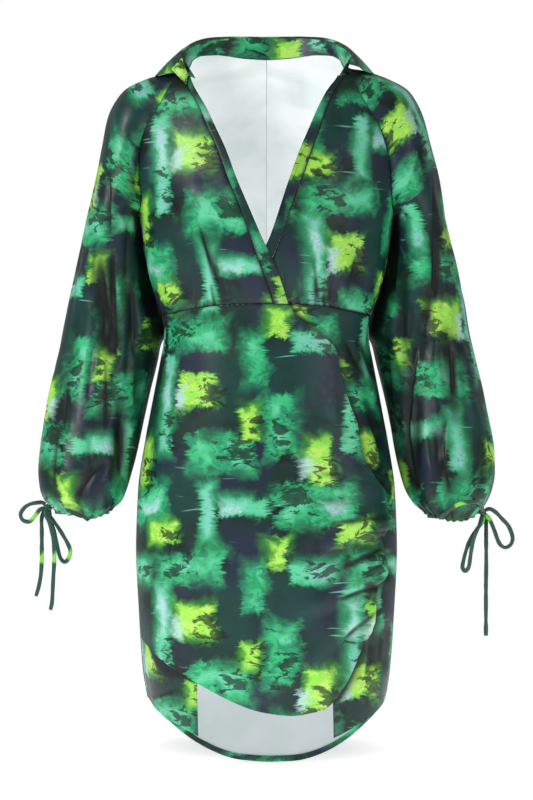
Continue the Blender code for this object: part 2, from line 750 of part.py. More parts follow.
def skirt_under(side):
    """Under front of the skirt, from its side seam to its free upright edge."""
    right = side > 0
    name = "skirt_under_right" if right else "skirt_under_left"
    side_angle = side * (math.pi / 2 - SIDE_SEAM_ANGLE)
    edge = from_waist(UNDER_RIGHT_EDGE if right else UNDER_LEFT_EDGE, -GAP / 2)
    free = border(edge[::-1])
    low = free(np.array([0.0]))[0]
    high = free(np.array([1.0]))[0]
    hem_x = np.array([row[0] for row in SHIRT_TAIL_HEM])
    first = abs(seen_x(low[0], low[1]))
    xs = np.concatenate([[first], hem_x[hem_x > first + 5]]) * side
    hem = border(np.stack([xs, table_column(SHIRT_TAIL_HEM, 3, np.abs(xs))], axis=-1))
    last = hem(np.array([1.0]))[0]

    def hem_to_seam(at):
        pull = ease(np.asarray(at))[:, None]
        ends = low - hem(np.array([0.0]))[0], np.array([side_angle, last[1]]) - last
        return hem(at) + (1 - pull) * ends[0] + pull * ends[1]

    top = WAIST_SIDE - GAP / 2
    seam_rows = np.linspace(top, SKIRT_HEM_LEFT[0][1], sum(SKIRT_STEPS) + 1)
    seam_rows = np.concatenate([seam_rows, np.linspace(seam_rows[-1], last[1], 4)[1:]])
    v = (seam_rows[::-1] - last[1]) / (top - last[1])
    columns = UNDER_LEFT_STEPS
    if right:
        rows, columns = UNDER_RIGHT_STEPS
        v = np.linspace(0, 1, rows + 1)
    flat = patch(
        free,
        straight((side_angle, last[1]), (side_angle, top)),
        hem_to_seam,
        waist_border(high[0], side_angle, -GAP / 2),
        v,
        np.linspace(0, 1, columns + 1),
    )
    x = seen_x(flat[..., 0], flat[..., 1])
    if right:
        out = -troughs(x, flat[..., 1], UNDER_TROUGHS)
    else:
        from_seam = (flat[..., 0] - side_angle) / math.radians(SEAM_TURN)
        out = -SEAM_DROP - (UNDER_DROP - SEAM_DROP) * ease(from_seam)
    body_cloth(name, flat, out)


def back_hem_height(angle):
    """Height of the shirt-tail hem round the back."""
    x = signed_power(np.sin(angle), 2 / ROUNDNESS) * SHIRT_TAIL_HEM[-1][0]
    left = table_column(SHIRT_TAIL_HEM, 1, np.abs(x))
    right = table_column(SHIRT_TAIL_HEM, 2, np.abs(x))
    return np.where(x < 0, left, right)


def skirt_back():
    """Back skirt with the dipped hem, and the printed turning along the hem's inside."""
    start = math.pi / 2 + SIDE_SEAM_ANGLE
    end = 3 * math.pi / 2 - SIDE_SEAM_ANGLE
    rows, columns = BACK_SKIRT_GRID
    angle = np.linspace(start, end, columns)[None, :] + np.zeros((rows, 1))
    v = np.linspace(0, 1, rows)[:, None]
    top = waist_height(angle) - GAP / 2
    z = back_hem_height(angle) * (1 - v) + top * v
    flat = np.stack([angle, z], axis=-1)
    out = -troughs(seen_x(angle, z), z, BACK_TROUGHS)
    body_cloth("skirt_back", flat, out)

    turning_height, wall = HEM_TURNING
    angle = angle[:2, 1:-1]
    z = back_hem_height(angle) + np.array([[0.0], [turning_height]])
    strip = np.stack([angle, z], axis=-1)
    body_cloth("hem_turning_back", strip, -(WALL + 1.5 * GAP) + 0.0 * z, wall)


def sleeve_fold(angle, z, rows):
    """Depth of the long folds of a sleeve at ring angles in degrees."""
    depth = 0.0 * angle
    for top_angle, top_z, low_angle, low_z, deep, half_width in rows:
        t = (top_z - z) / (top_z - low_z)
        centre = top_angle + (low_angle - top_angle) * np.clip(t, 0, 1)
        fade = ease(t / 0.3) * ease((1 - t) / 0.3)
        depth = depth + deep * fade * np.exp(-((angle - centre) / half_width) ** 2)
    return depth


def ring(centre, outwards, forwards, angle):
    """Points of one sleeve ring; angle 0 is the outer side and +90 degrees the front."""
    cosine = np.cos(angle)[:, None]
    sine = np.sin(angle)[:, None]
    return centre + outwards * cosine + forwards * sine


def sleeve_grid(side):
    """Outer points of a sleeve: its raglan cap, then rings down to the cuff."""
    mirror = np.array([side, 1.0, 1.0])
    front = raglan_border(side, False, GAP)
    back = raglan_border(side, True, GAP, CREASE_GAP)

    def cap_row(place):
        """Ends of a cap row on the two raglan seams, and half the angle that it spans."""
        flat_front = front(np.array([place]))
        flat_back = back(np.array([place]))
        start = body_point(flat_front[:, 0], flat_front[:, 1], np.zeros(1))[0]
        end = body_point(flat_back[:, 0], flat_back[:, 1], np.zeros(1))[0]
        half_depth = table_column(CAP_HALF_DEPTHS, 1, place)
        width = np.linalg.norm(start - end)
        return start, end, math.pi - math.asin(min(1.0, width / (2 * half_depth)))

    middle_span = cap_row(0.5)[2]
    rows = []
    for place in np.linspace(0, 1, RAGLAN_STEPS + 1)[:-1]:
        start, end, span = cap_row(place)
        if place < 0.5:
            share = float(ease(place / 0.5))
            span = math.radians(NECK_SPAN) * (1 - share) + middle_span * share
        ridge = along(SHOULDER_RIDGE, np.array([place]))[0] * mirror
        middle = (start + end) / 2
        outwards = (ridge - middle) / (1 - math.cos(span))
        forwards = (start - end) / (2 * math.sin(span))
        angle = np.linspace(span, -span, SLEEVE_COLUMNS + 1)
        rows.append(ring(ridge - outwards, outwards, forwards, angle))
    table = SLEEVE["left" if side < 0 else "right"]
    top, bottom = table[0][0], table[-1][0]
    rows += [sleeve_ring(top + (bottom - top) * place, side) for place in SLEEVE_RINGS]
    return np.stack(rows)


def sleeve_ring(z, side):
    """One ring of the sleeve below the underarm, with its folds and gathers."""
    end = "left" if side < 0 else "right"
    angle = np.linspace(math.pi, -math.pi, SLEEVE_COLUMNS + 1)
    degrees = np.degrees(angle)
    table = SLEEVE[end]
    sizes = [table_column(table, column, z) for column in range(1, 6)]
    inner, outer, half_depth, middle_y, lean = sizes
    fold = sleeve_fold(degrees, z, SLEEVE_FOLDS[end])
    gathered = float(ease(1 - (z - table[-1][0]) / GATHER_RUN))
    gather = GATHER_HEIGHT * gathered * (np.cos(angle * CUFF_GATHERS) - 1) / 2
    loss, reach = INNER_SIDE
    inner_side = 1 - loss * np.exp(-((np.abs(degrees) - 180) / reach) ** 2)
    depth = gather - fold * inner_side
    leaning = lean * np.sin(angle) * (1 - np.cos(angle)) / 2
    x = side * ((inner + outer) / 2 + ((outer - inner) / 2 + depth) * np.cos(angle) + leaning)
    y = middle_y - (half_depth + depth) * np.sin(angle)
    return np.stack([x, y, z + 0 * x], axis=-1)


def sleeve(side):
    """Raglan sleeve and the drawstring casing at its cuff."""
    end = "left" if side < 0 else "right"
    cloth("sleeve_" + end, sleeve_grid(side), (side * 215.0, 0.0, -300.0))
    bottom = sleeve_ring(SLEEVE[end][-1][0], side)
    rows = [bottom + np.array([0.0, 0.0, -drop]) for drop in (GAP, CASING_HEIGHT)]
    cloth("cuff_casing_" + end, np.stack(rows), bottom[:-1].mean(axis=0))


def collar_line(left, right, first_column):
    """Points of one collar line from the left front end round the back to the right end."""
    at = np.linspace(-1, 1, COLLAR_POINTS)
    key = 1 - np.abs(at)
    columns = range(first_column, first_column + 3)
    x, y, z = [
        np.where(at < 0, table_column(left, column, key), table_column(right, column, key))
        for column in columns
    ]
    return np.stack([np.sign(at) * x, y, z], axis=-1)


def collar():
    """Stand that rises from the neck seam, and the leaf that folds down over it."""
    seam = collar_line(COLLAR, COLLAR, 1)
    roll = collar_line(COLLAR, COLLAR, 4)
    leaf = collar_line(COLLAR_LEAF["left"], COLLAR_LEAF["right"], 1)
    rise = roll - seam
    rise /= np.linalg.norm(rise, axis=-1, keepdims=True)
    stand_rows = [
        seam + rise * COLLAR_SEAM_LIFT,
        (seam + roll) / 2,
        roll - rise * ROLL_GAP,
    ]
    cloth("collar_stand", np.stack(stand_rows), COLLAR_MIDDLE)
    outwards = (roll - np.array(COLLAR_MIDDLE)) * np.array([1.0, 1.0, 0.0])
    outwards /= np.linalg.norm(outwards, axis=-1, keepdims=True)
    key = 1 - np.abs(np.linspace(-1, 1, len(roll)))
    swell_out = table_column(COLLAR, 7, key)[:, None]
    swell_up = table_column(COLLAR, 8, key)[:, None]
    shoulder = roll + outwards * swell_out + np.array([0.0, 0.0, 1.0]) * swell_up
    drop = leaf - shoulder
    leaf_rows = [
        roll + rise * LEAF_START,
        shoulder,
        shoulder + drop * 0.5 + outwards * LEAF_SWELL,
        leaf,
    ]
    cloth("collar_fall", np.stack(leaf_rows), COLLAR_MIDDLE)


def tie_path(knot_place, route, closed):
    """Evenly spaced points along one free cord, whose ends at the knot lie on its surface."""
    start = [(0.0, 0.0, 0.0)]
    points = np.array(start + list(route) + (start if closed else []), float)
    length = np.linalg.norm(np.diff(points, axis=0), axis=1).sum()
    count = max(4, round(length / TIE_POINT_STEP) + 1)
    path = along(points, np.linspace(0, 1, count))
    path[0] = path[1] * KNOT_SEAT / np.linalg.norm(path[1])
    if closed:
        path[-1] = path[-2] * KNOT_SEAT / np.linalg.norm(path[-2])
    return path + np.asarray(knot_place, float)


def tie(name, path):
    """One free cord of a cuff's bow."""
    shape = bpy.data.curves.new(name, "CURVE")
    shape.dimensions = "3D"
    shape.bevel_depth = TIE_RADIUS * MM
    shape.bevel_resolution = 2
    shape.use_fill_caps = True
    spline = shape.splines.new("POLY")
    spline.points.add(len(path) - 1)
    for point, place in zip(spline.points, path):
        point.co = (*(place * MM), 1.0)
    add_object(name, shape)


def knot(name, centre):
    """Knot of a bow, a slightly flattened ball."""
    mesh = bpy.data.meshes.new(name)
    form = bmesh.new()
    bmesh.ops.create_uvsphere(form, u_segments=8, v_segments=6, radius=KNOT_RADIUS * MM)
    bmesh.ops.translate(form, verts=form.verts, vec=[value * MM for value in centre])
    form.to_mesh(mesh)
    form.free()
    mesh.shade_smooth()
    add_object(name, mesh)


def bow(side_name):
    """Knot, loops and tails of one cuff's drawstring."""
    routes = TIES[side_name]
    knot("tie_knot_" + side_name, routes["knot"])
    for piece, route in routes.items():
        if piece != "knot":
            path = tie_path(routes["knot"], route, piece.startswith("loop"))
            tie("tie_" + piece + "_" + side_name, path)


def clear_scene():
    for old in list(bpy.data.objects):
        bpy.data.objects.remove(old, do_unlink=True)


def main():
    clear_scene()
    collection = bpy.data.collections.new("Collared wrap dress")
    bpy.context.scene.collection.children.link(collection)
    bodice_front("over", -1, NECK_EDGE_OVER, 1, overlap_lift, BODICE_OVER_TROUGHS)
    bodice_front("under", 1, NECK_EDGE_UNDER, 2, no_lift, BODICE_UNDER_TROUGHS)
    for side in (-1, 1):
        bodice_back(side)
        sleeve(side)
        skirt_under(side)
    skirt_over()
    skirt_back()
    collar()
    bow("left")
    bow("right")


main()
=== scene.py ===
"""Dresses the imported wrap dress: printed cloth, cuff ties, stitching, light and camera.

Lengths in the tables are in millimetres and are turned to metres when a mesh is made.
The front of the dress faces -Y, +Z is up and the viewer's right is +X.
"""
import math

import bmesh
import bpy
import numpy as np
from bpy.props import FloatProperty, FloatVectorProperty, PointerProperty
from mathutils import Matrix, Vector


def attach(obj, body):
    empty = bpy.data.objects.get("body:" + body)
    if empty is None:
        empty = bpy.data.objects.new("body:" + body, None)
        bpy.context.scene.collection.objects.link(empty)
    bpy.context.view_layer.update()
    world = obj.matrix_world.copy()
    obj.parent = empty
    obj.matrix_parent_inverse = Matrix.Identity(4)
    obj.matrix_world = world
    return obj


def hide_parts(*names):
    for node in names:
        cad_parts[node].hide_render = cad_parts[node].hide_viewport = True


bl_info = {
    "name": "Collared wrap dress",
    "version": (1, 0, 0),
    "blender": (4, 5, 0),
    "location": "3D View > Sidebar > Wrap dress",
    "description": "Printed cloth, cuff ties, stitching and studio for a collared wrap dress",
    "category": "Object",
}

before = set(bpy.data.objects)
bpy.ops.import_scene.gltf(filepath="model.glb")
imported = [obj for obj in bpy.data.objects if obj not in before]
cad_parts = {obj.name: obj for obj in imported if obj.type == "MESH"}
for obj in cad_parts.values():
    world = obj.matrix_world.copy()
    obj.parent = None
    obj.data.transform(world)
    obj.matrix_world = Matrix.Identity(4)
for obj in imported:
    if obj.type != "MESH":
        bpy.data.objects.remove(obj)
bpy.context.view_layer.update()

MM = 0.001
SEAM_GAP = 0.12       # clear space between two pieces at a seam
OVERLAP_LIFT = 2.4    # the front that lies over stands this far off the one below
UNDER_DROP = 3.2      # the left under front lies this far inside the overlapping skirt
SEAM_DROP = 1.5       # and this far at their shared side seam
ROUNDNESS = 2.2       # power of the body sections, where 2 is an ellipse
WAIST_SIDE = -302.0   # height of the waist seam at the side seams
WAIST_FRONT_RISE = 14.0
WAIST_BACK_RISE = 5.0
UNDERARM = -175.0     # height of the underarm point, where the raglan seams end
MEAN_RADIUS = 150.0   # turns a body angle into a length for the border curves
SIDE_SEAM_ANGLE = 0.0001   # half of the opening left at a side seam, in radians
BORDER_SCALE = np.array([MEAN_RADIUS, 1.0])   # body angle and height to lengths
UP = np.array([0.0, 0.0, 1.0])
LEVEL = np.array([1.0, 1.0, 0.0])   # keeps the level part of a point
FRONT_WIDTH = 180.0   # width of a bodice front, for distances from its borders
BACK_WIDTH = 200.0    # the same of half of the back bodice
BAND_WIDTH = 14.0     # the same of a neck band
JUST_OFF_CENTRE = 0.02   # x of the back neck's middle, kept on the piece's own side
ROLL_STEPS = (0.0012, 0.0030, 0.0055)   # close places at a border that rolls in
# Body sections: height, half width, depth to the front, depth to the back
BODY = (
    (-890, 134, 100, 103), (-840, 143, 102, 106), (-808, 149, 103, 108), (-790, 152.5, 104, 109),
    (-751, 158.5, 106, 112), (-677, 163.5, 108, 116), (-600, 167, 110, 121),
    (-526, 164.5, 109, 121), (-465, 156, 106, 116), (-425, 148.5, 103, 109), (-383, 140.5, 99, 100),
    (-356, 135.3, 97, 95), (-339, 132, 95, 92), (-321, 130.8, 94, 90), (-297, 135, 96, 88),
    (-282, 141, 100, 87), (-252, 150, 107, 86), (-218, 157, 113, 87), (-175, 163.5, 115, 90),
    (-150, 170, 113, 92), (-120, 176, 107, 93), (-80, 176, 95, 92), (-36, 165, 78, 89),
    (0, 150, 54, 87), (9, 139, 36, 86), (16, 129, 18, 86), (30, 113, 6, 85), (40, 103, 4, 83),
)

# Slanting neck edge of the overlapping front: x, height
NECK_EDGE_OVER = ((-96, 3), (-75, -41), (-55, -84), (-31, -146), (-1, -215), (27, -288.5))
# Slanting neck edge of the front below
NECK_EDGE_UNDER = ((90, 3), (76, -18), (54, -65), (36, -110), (-1, -215), (-33, -288.5))
# Neck band: height, width across on the overlapping front, width on the front below
NECK_BAND = (
    (-290, 18, 15), (-215, 15, 15), (-146, 11, 16), (-84, 10, 15), (-41, 9, 11), (5, 7, 8),
)

# Front raglan seams from the neck to the underarm: x outwards, height
RAGLAN_LEFT = (
    (103, 9), (122, -8), (135, -33), (147, -48), (154, -66),
    (160, -86), (162, -118), (159, -150), (161, -166), (163.5, UNDERARM),
)
RAGLAN_RIGHT = (
    (103, 9), (115, -12), (128, -37), (140, -56), (149, -79),
    (156, -104), (158, -126), (159, -150), (161, -166), (163.5, UNDERARM),
)
# Back raglan seams
RAGLAN_BACK = (
    (95, 30), (108, 14), (122, -8), (136, -36), (150, -66),
    (158, -96), (161, -124), (159.5, -150), (161, -166), (163.5, UNDERARM),
)
# Back neck edge from the raglan seam to the centre back: x, height
NECK_BACK = ((95, 30), (85, 35), (61, 37), (28, 33), (0, 31.5))

# Free edge of the overlapping skirt, from the waist seam to the ruched side
SKIRT_FREE_EDGE = (
    (27, -288.5), (41, -307), (57, -319), (76, -334), (87, -348), (90, -366), (97, -396),
    (104, -419), (112, -441), (117, -472), (131, -503), (147, -526),
)
# Ruched side of the overlapping skirt: tips and hollows of its billows
SKIRT_RUCHED_EDGE = (
    (147, -526), (146, -545), (148.5, -564), (144, -580), (138, -593), (143, -607), (145, -628),
    (137, -645), (132, -662), (132, -682), (130, -702),
)
# Petal-curved hem of the overlapping skirt, from the ruched side to its lowest stretch
SKIRT_HEM_RIGHT = ((130, -702), (120, -717), (104, -757), (90, -783), (80, -794))
# The same hem from the left side seam to that stretch
SKIRT_HEM_LEFT = (
    (-159.5, -704), (-143, -731), (-131, -741), (-110, -753), (-83, -769), (-42, -790), (-16, -801),
    (4, -807), (30, -808.5), (46, -807.5), (69, -802), (80, -794),
)
SKIRT_STEPS = (8, 12, 4)   # rows down the free edge, the ruched side and the right hem
# Shirt-tail hem: x outwards on the hem's widest section, height on the back's left half,
# on its right half and on the under fronts
SHIRT_TAIL_HEM = (
    (0, -881, -881, -846), (45, -877, -879, -844), (75, -867, -871, -838), (98, -855, -860, -829),
    (117, -840, -846, -819), (134, -823, -828, -810), (146, -808, -811, -799),
    (152.5, -790, -790, -790),
)
# Free upright edges of the under fronts, from the waist seam down: x, height
UNDER_RIGHT_EDGE = ((-20, -289), (20, -400), (55, -520), (76, -640), (83, -760), (85, -836))
UNDER_LEFT_EDGE = ((-70, -291), (-78, -450), (-84, -620), (-89, -760), (-88, -834))

# Billows that run in from the ruched edge of the overlapping skirt:
# place down the whole right edge 0..1, place where it dies out, reach across, height, half width
BILLOWS = (
    (0.44, 0.46, 0.42, 6, 0.045), (0.61, 0.58, 0.46, 7, 0.05), (0.76, 0.7, 0.36, 5, 0.04),
)
# Fine ruching at that edge, given in the same way
RUCHES = (
    (0.385, 0.4, 0.2, 1.8, 0.012), (0.42, 0.43, 0.26, 2, 0.012), (0.505, 0.5, 0.24, 2.4, 0.013),
    (0.548, 0.53, 0.3, 2.2, 0.014), (0.655, 0.61, 0.28, 2.2, 0.013), (0.7, 0.65, 0.24, 2, 0.012),
    (0.805, 0.73, 0.26, 2, 0.014), (0.85, 0.78, 0.22, 1.6, 0.013),
)
RUCHE_STAND = 3.5     # the ruched part of the overlapping skirt stands this much further off
# Soft troughs in the overlapping skirt: x and height of each end, depth, half width
SKIRT_TROUGHS = (
    (150, -585, 60, -610, 4.5, 9), (140, -650, 50, -690, 4, 10), (140, -540, 40, -535, 2.5, 11),
    (110, -470, 20, -430, 2, 12), (-150, -560, -60, -600, 0.8, 14), (125, -690, 60, -760, 2.5, 10),
)
# Troughs of the right under front between the free edge and the side seam, then fine ones
UNDER_TROUGHS = (
    (97, -330, 128, -386, 3, 5), (112, -322, 141, -392, 2.5, 5), (128, -420, 150, -478, 3, 6),
    (120, -400, 146, -452, 2, 6), (158, -500, 140, -520, 1.6, 5), (163, -560, 147, -590, 1.8, 5),
    (163, -618, 146, -640, 2.2, 6), (140, -690, 136, -760, 3, 6), (156, -680, 150, -760, 2, 6),
    (104, -340, 133, -398, 1, 2.5), (120, -335, 139, -380, 1.2, 2.5),
    (135, -440, 154, -486, 1.2, 3), (150, -500, 166, -512, 1.4, 3), (148, -540, 166, -548, 1.2, 3),
    (146, -572, 166, -582, 1.4, 3), (146, -604, 165, -606, 1.2, 3),
    (131, -700, 127, -768, 2.4, 4.5), (147, -690, 142, -762, 2, 4),
)
# Troughs of the bodice fronts; the first is the long soft dart
BODICE_OVER_TROUGHS = (
    (-90, -165, -52, -286, 2.4, 5), (-70, -100, -20, -120, 2, 7), (-95, -130, -40, -160, 1.8, 8),
    (-130, -230, -100, -290, 1.6, 8),
)
BODICE_UNDER_TROUGHS = (
    (60, -250, 68, -288, 1.6, 5), (130, -215, 95, -285, 1.8, 8), (115, -90, 80, -150, 1.5, 9),
)
# Waist gathers of the bodice fronts: first x, last x, how many, how high they run, height
BODICE_GATHERS = {"over": (-94, -36, 5, 62, 2.6), "under": (12, 100, 8, 66, 2.6)}
BACK_TROUGHS = ((-95, -420, -60, -640, 2.5, 14), (95, -420, 62, -640, 2.5, 14))

# Sleeve rings below the underarm, on each side: height, x of the inner side, x of the outer
# side, half depth, y of the middle, lean of the inner side in towards the back
SLEEVE_TOP = (
    (-177, 163, 229, 60, 4, 0), (-218, 155.8, 239, 62, 14, 7), (-252, 148, 247, 64, 21, 12),
    (-282, 138.2, 254, 65, 26, 14),
)
SLEEVE = {
    "left": SLEEVE_TOP + (
        (-321, 129.6, 262, 66, 28, 14), (-340, 137, 266, 66.5, 28, 12), (-358, 140, 270, 67, 26, 9),
        (-397, 149, 277, 68, 20, 5), (-435, 157, 285, 69, 12, 2), (-474, 165, 291, 68, 3, 0),
        (-500, 171, 292.5, 66, -4, 0), (-522, 177, 290, 61, -10, 0), (-536, 183.5, 285, 54, -13, 0),
        (-545, 194, 275, 41, -16, 0),
    ),
    "right": SLEEVE_TOP + (
        (-321, 129.6, 261, 66, 28, 14), (-340, 137, 265, 66.5, 28, 12),
        (-358, 140.5, 269, 67, 26, 9), (-397, 149.5, 278, 68, 20, 5), (-435, 157.5, 285, 69, 12, 2),
        (-474, 164, 291, 68, 3, 0), (-500, 169.5, 291.5, 66, -4, 0), (-525, 176, 288, 61, -10, 0),
        (-542, 185.5, 281, 52, -13, 0), (-554, 199, 271, 38, -16, 0),
    ),
}
# Ridge of the sleeve from the neck over the shoulder: x outwards, y, height
SHOULDER_RIDGE = (
    (100, 8, 15), (112, 6, 11), (126, 4, 9), (142, 2, 6), (160, 0, -0.5), (181, -2, -13),
    (192.5, -2, -29), (201, -2, -48), (209, -2, -79), (216, -2, -111), (225, -1, -157),
    (229, 0, -177),
)
CUFF_GATHERS = 11
GATHER_HEIGHT = 2.4
GATHER_RUN = 70.0     # the cuff's gathers fade out this far above it
CREASE_GAP = 1.1      # extra room of the back raglan seam near the neck, where it creases
CASING_HEIGHT = 9.0
CASING_ROWS = 12
# The full sleeve hangs below its casing as a soft bag: x outwards and how far it hangs down
CUFF_BAG = {
    "left": (
        (186, 0), (196.5, 3), (206.7, 9.4), (217, 12), (226, 14.6), (235, 12), (240, 9.4),
        (249, 8.8), (256.6, 6.9), (268, 3.7), (276, 0),
    ),
    "right": (
        (192, -4), (199, -3), (205.6, -0.5), (215.9, 3.4), (222.7, 4), (227, 5.6), (233, 6.8),
        (240, 7), (247, 6.4), (251, 6.8), (257, 5.2), (262.3, 1.7), (272, -3),
    ),
}
BAG_TURN = 3.0        # radius of the turn at the bag's foot
CASING_TOP = {"left": -1.0, "right": 3.0}   # the casing's seam above the sleeve's lowest ring
# Long sleeve folds, the large ones first: angle from the outer side towards the front and
# height of the top end, the same of the low end, depth, half width in degrees
SLEEVE_FOLDS = {
    "left": (
        (69, -205, 92, -370, 5, 11), (99, -240, 106, -372, 3, 9), (122, -240, 118, -352, 3.5, 10),
        (95, -372, 106, -450, 3, 10), (112, -380, 150, -520, 4, 11), (113, -480, 82, -536, 3.5, 10),
        (40, -260, 55, -480, 2.5, 12), (-62, -210, -84, -420, 4.5, 12),
        (-112, -260, -104, -430, 4, 12), (-70, -420, -92, -530, 3.5, 12),
        (-138, -380, -128, -510, 3, 12), (58, -190, 66, -300, 1.8, 5), (82, -230, 88, -330, 2, 5),
        (74, -320, 82, -420, 2, 5), (120, -300, 124, -400, 1.8, 5), (48, -380, 60, -470, 1.6, 5),
        (88, -440, 100, -520, 2, 5), (-40, -220, -52, -360, 2, 6), (-92, -300, -96, -440, 2, 6),
        (20, -200, 30, -340, 1.4, 7),
    ),
    "right": (
        (70, -190, 79, -300, 4, 10), (90, -285, 100, -372, 3.5, 10), (60, -300, 71, -410, 4, 11),
        (110, -375, 140, -535, 4.5, 11), (67, -380, 74, -450, 3, 10), (90, -480, 92, -536, 3, 10),
        (125, -230, 120, -360, 3, 10), (-66, -230, -80, -430, 4.5, 12),
        (-108, -240, -110, -410, 4, 12), (-88, -430, -76, -525, 3.5, 12),
        (-136, -360, -130, -500, 3, 12), (60, -200, 68, -320, 1.8, 5), (84, -240, 90, -350, 2, 5),
        (76, -330, 86, -440, 2, 5), (118, -290, 124, -390, 1.8, 5), (50, -360, 58, -460, 1.6, 5),
        (100, -430, 104, -520, 2, 5), (-44, -240, -56, -380, 2, 6), (-96, -320, -92, -450, 2, 6),
        (24, -220, 32, -360, 1.4, 7),
    ),
}

# Collar, from the front end (0) to the centre back (1): place, neck seam x y z,
# roll line x y z, swell of the roll outwards and up
COLLAR = (
    (0, 94, -41, 4, 107, -36, 25, 3.4, 0.8), (0.1, 103, -26, 9, 109, -23, 30.5, 3, 1.5),
    (0.2, 103, -8, 13, 106, -8, 36, 2.6, 1.8), (0.32, 101, 12, 17, 100, 14, 42, 2.4, 2.4),
    (0.48, 95, 46, 30, 88, 44, 50, 2.6, 3.6), (0.64, 74, 62, 37, 69, 68, 57, 3.2, 3),
    (0.82, 36, 80, 34, 34, 84, 61, 2.8, 1), (1, 0, 83, 31.5, 0, 87, 61, 2.6, 0.6),
)
# Lower edge of the collar's leaf on each side: place, x outwards, y, height
LEAF_BACK = ((0.48, 122, 58, 21), (0.64, 90, 84, 29), (0.82, 44, 102, 32), (1.00, 0, 108, 31))
COLLAR_LEAF = {
    "left": (
        (0, 118, -42, 6.5), (0.1, 132, -28, 6), (0.2, 142, -11, 4.5), (0.32, 141, 18, 7),
    ) + LEAF_BACK,
    "right": (
        (0, 114, -37, 18), (0.1, 123, -22, 12), (0.2, 132, -5, 9.5), (0.32, 137, 18, 9.5),
    ) + LEAF_BACK,
}
COLLAR_FLAP = ((-121, -43, 11), (-107.5, -39.5, 25.5), (-100.2, -47, 4.6), (-101.8, -54, -9.5))
ROLL_GAP = 0.9        # the stand ends this far under the roll line
COLLAR_COLUMNS = 241
COLLAR_MIDDLE = (0.0, 10.0, 30.0)
COLLAR_SWELL = ((0.25, 1.2), (0.5, 1.5), (0.75, 0.9), (1.0, 0.0))   # along the leaf's drop
COLLAR_TUCK = (6.0, 0.16)   # drop of the stand's front ends into the neck, and its reach

KNOT_SEAT = 4.95      # the cords start this far from the middle of their knot
# Cuff ties on each side: the knot's place, then the route of each free cord as seen from the
# knot, where a loop leaves and comes back and a tail only leaves
TIES = {
    "left": {
        "knot": (-278.6, -23, -546),
        "loop_outer": (
            (-8, -1, 5.9), (-20, -3, 4.5), (-29, -3, 0), (-35, -3, -10), (-32, -2, -17),
            (-25, -1, -19), (-17, -1.8, -12), (-9.5, -1.5, -2.7),
        ),
        "loop_inner": (
            (1, 2.5, -9.6), (7, 3, -18), (14, 3.5, -28), (20, 4, -38), (25, 5, -47), (28.5, 5, -57),
            (25.5, 4, -67), (21, 4, -70.5), (15.5, 4.5, -65), (12, 5.5, -52), (8, 7, -33),
            (2.5, 8.5, -16), (1, 9.2, -3.8),
        ),
        "tail_front": (
            (-3, -6.5, -7), (2, -8, -20), (7, -8, -40), (8.5, -8, -62), (7, -8, -92),
            (5.5, -8, -121), (3.5, -8, -131),
        ),
        "tail_outer": (
            (-6, 4.5, -6.6), (-8.5, 4, -18), (-8, 2.5, -33), (-8, 2, -62), (-9, 2, -84),
            (-12, 2, -102), (-15.5, 2, -114),
        ),
    },
    "right": {
        "knot": (275.2, -26, -553),
        "loop_outer": (
            (7.7, 0, -6.4), (14.5, 1, -21), (22.8, 3, -41), (29.3, 4, -45), (36.3, 4, -41),
            (38.8, 4, -34), (34.3, 3, -19), (24, 1, -7), (15.5, -0.5, 1.5), (8.5, -2, 4.8),
        ),
        "loop_inner": (
            (0.5, 2.5, -9.7), (-6, 2, -20), (-17, 2, -38), (-24, 2.5, -61), (-25.5, 2.5, -70),
            (-22, 2, -75), (-17.5, 0.5, -70), (-15, -2, -53), (-12, -5, -35), (-6, -8, -20),
            (-1.5, -5.8, -8),
        ),
        "tail_front": (
            (4.5, 7.5, -4.8), (5, 6.5, -16), (4.8, 2, -37), (4.8, -1, -63), (4.3, -3, -97),
            (4.3, -3, -127), (4.3, -3, -157),
        ),
        "tail_over": (
            (0, -9.5, 3), (-2.2, -20, 8), (-9.2, -36.5, 14.5), (-25.2, -50.5, 14), (-39.2, -48, 8),
            (-49.2, -37, 0), (-56.2, -30, -7),
        ),
    },
}
TIE_POINT_STEP = 1.5

SIDE_SHARE = 5 / 13   # part of a bodice piece's outer border that is the side seam
CAP_END = 0.975       # last place of the sleeve cap on the raglan seam
CAP_ROWS = 62
CAP_DEPTHS = ((0.0, 43), (0.5, 53), (1.0, 60))   # place on the cap, half depth there
SLEEVE_ROWS = 128
SLEEVE_COLUMNS = (112, 48)   # on the front and on the back of a sleeve
SLEEVE_MIDDLE = (215.0, 0.0, -300.0)
NECK_SPAN = 62        # half angle of the sleeve cap's first row, in degrees
TIE_SIDES = 16
KNOT_SIZE = (5.4, 4.2, 4.6)
STITCH_LIFT = 0.12    # the threads lie this far off the cloth
WELD = 0.02           # points closer than this are one
HEM_ROUNDING = {"left": 0.09, "right": 0.15, "under": 0.12}   # reach of the hems' soft bends
TURNING_ROWS = 12
TURNING_HEIGHT = 8.0
TURNING_DROP = 1.65   # the hem's turning lies this far inside the skirt's face
TURNING_WALL = 0.9
COLLAR_SHADOW = (-34.0, 24.0)   # height where the collar's painted shadow ends, and its reach
CAP_SHADOW = 32.0     # how far down the sleeve the collar's painted shadow falls
HEM_SHADE_HEIGHTS = (-0.80, -0.66)   # heights in metres where the painted shade inside the skirt is full and where it has faded out
ALLOWANCE = ((0.1, 0.9), (2.5, 0.4))   # steps of a turned-in seam allowance: on and inwards
RAGLAN_ALLOWANCE = ((0.15, 0.2), (4.0, -1.1))   # the same inside the sleeve, where it stands up
SENSOR = 36.0
CAMERA_DISTANCE = 6.0
CAMERA_HEIGHT = -0.4096
PICTURE_HEIGHT = 1.024
LIGHT_AIM = (0.0, 0.0, -0.42)
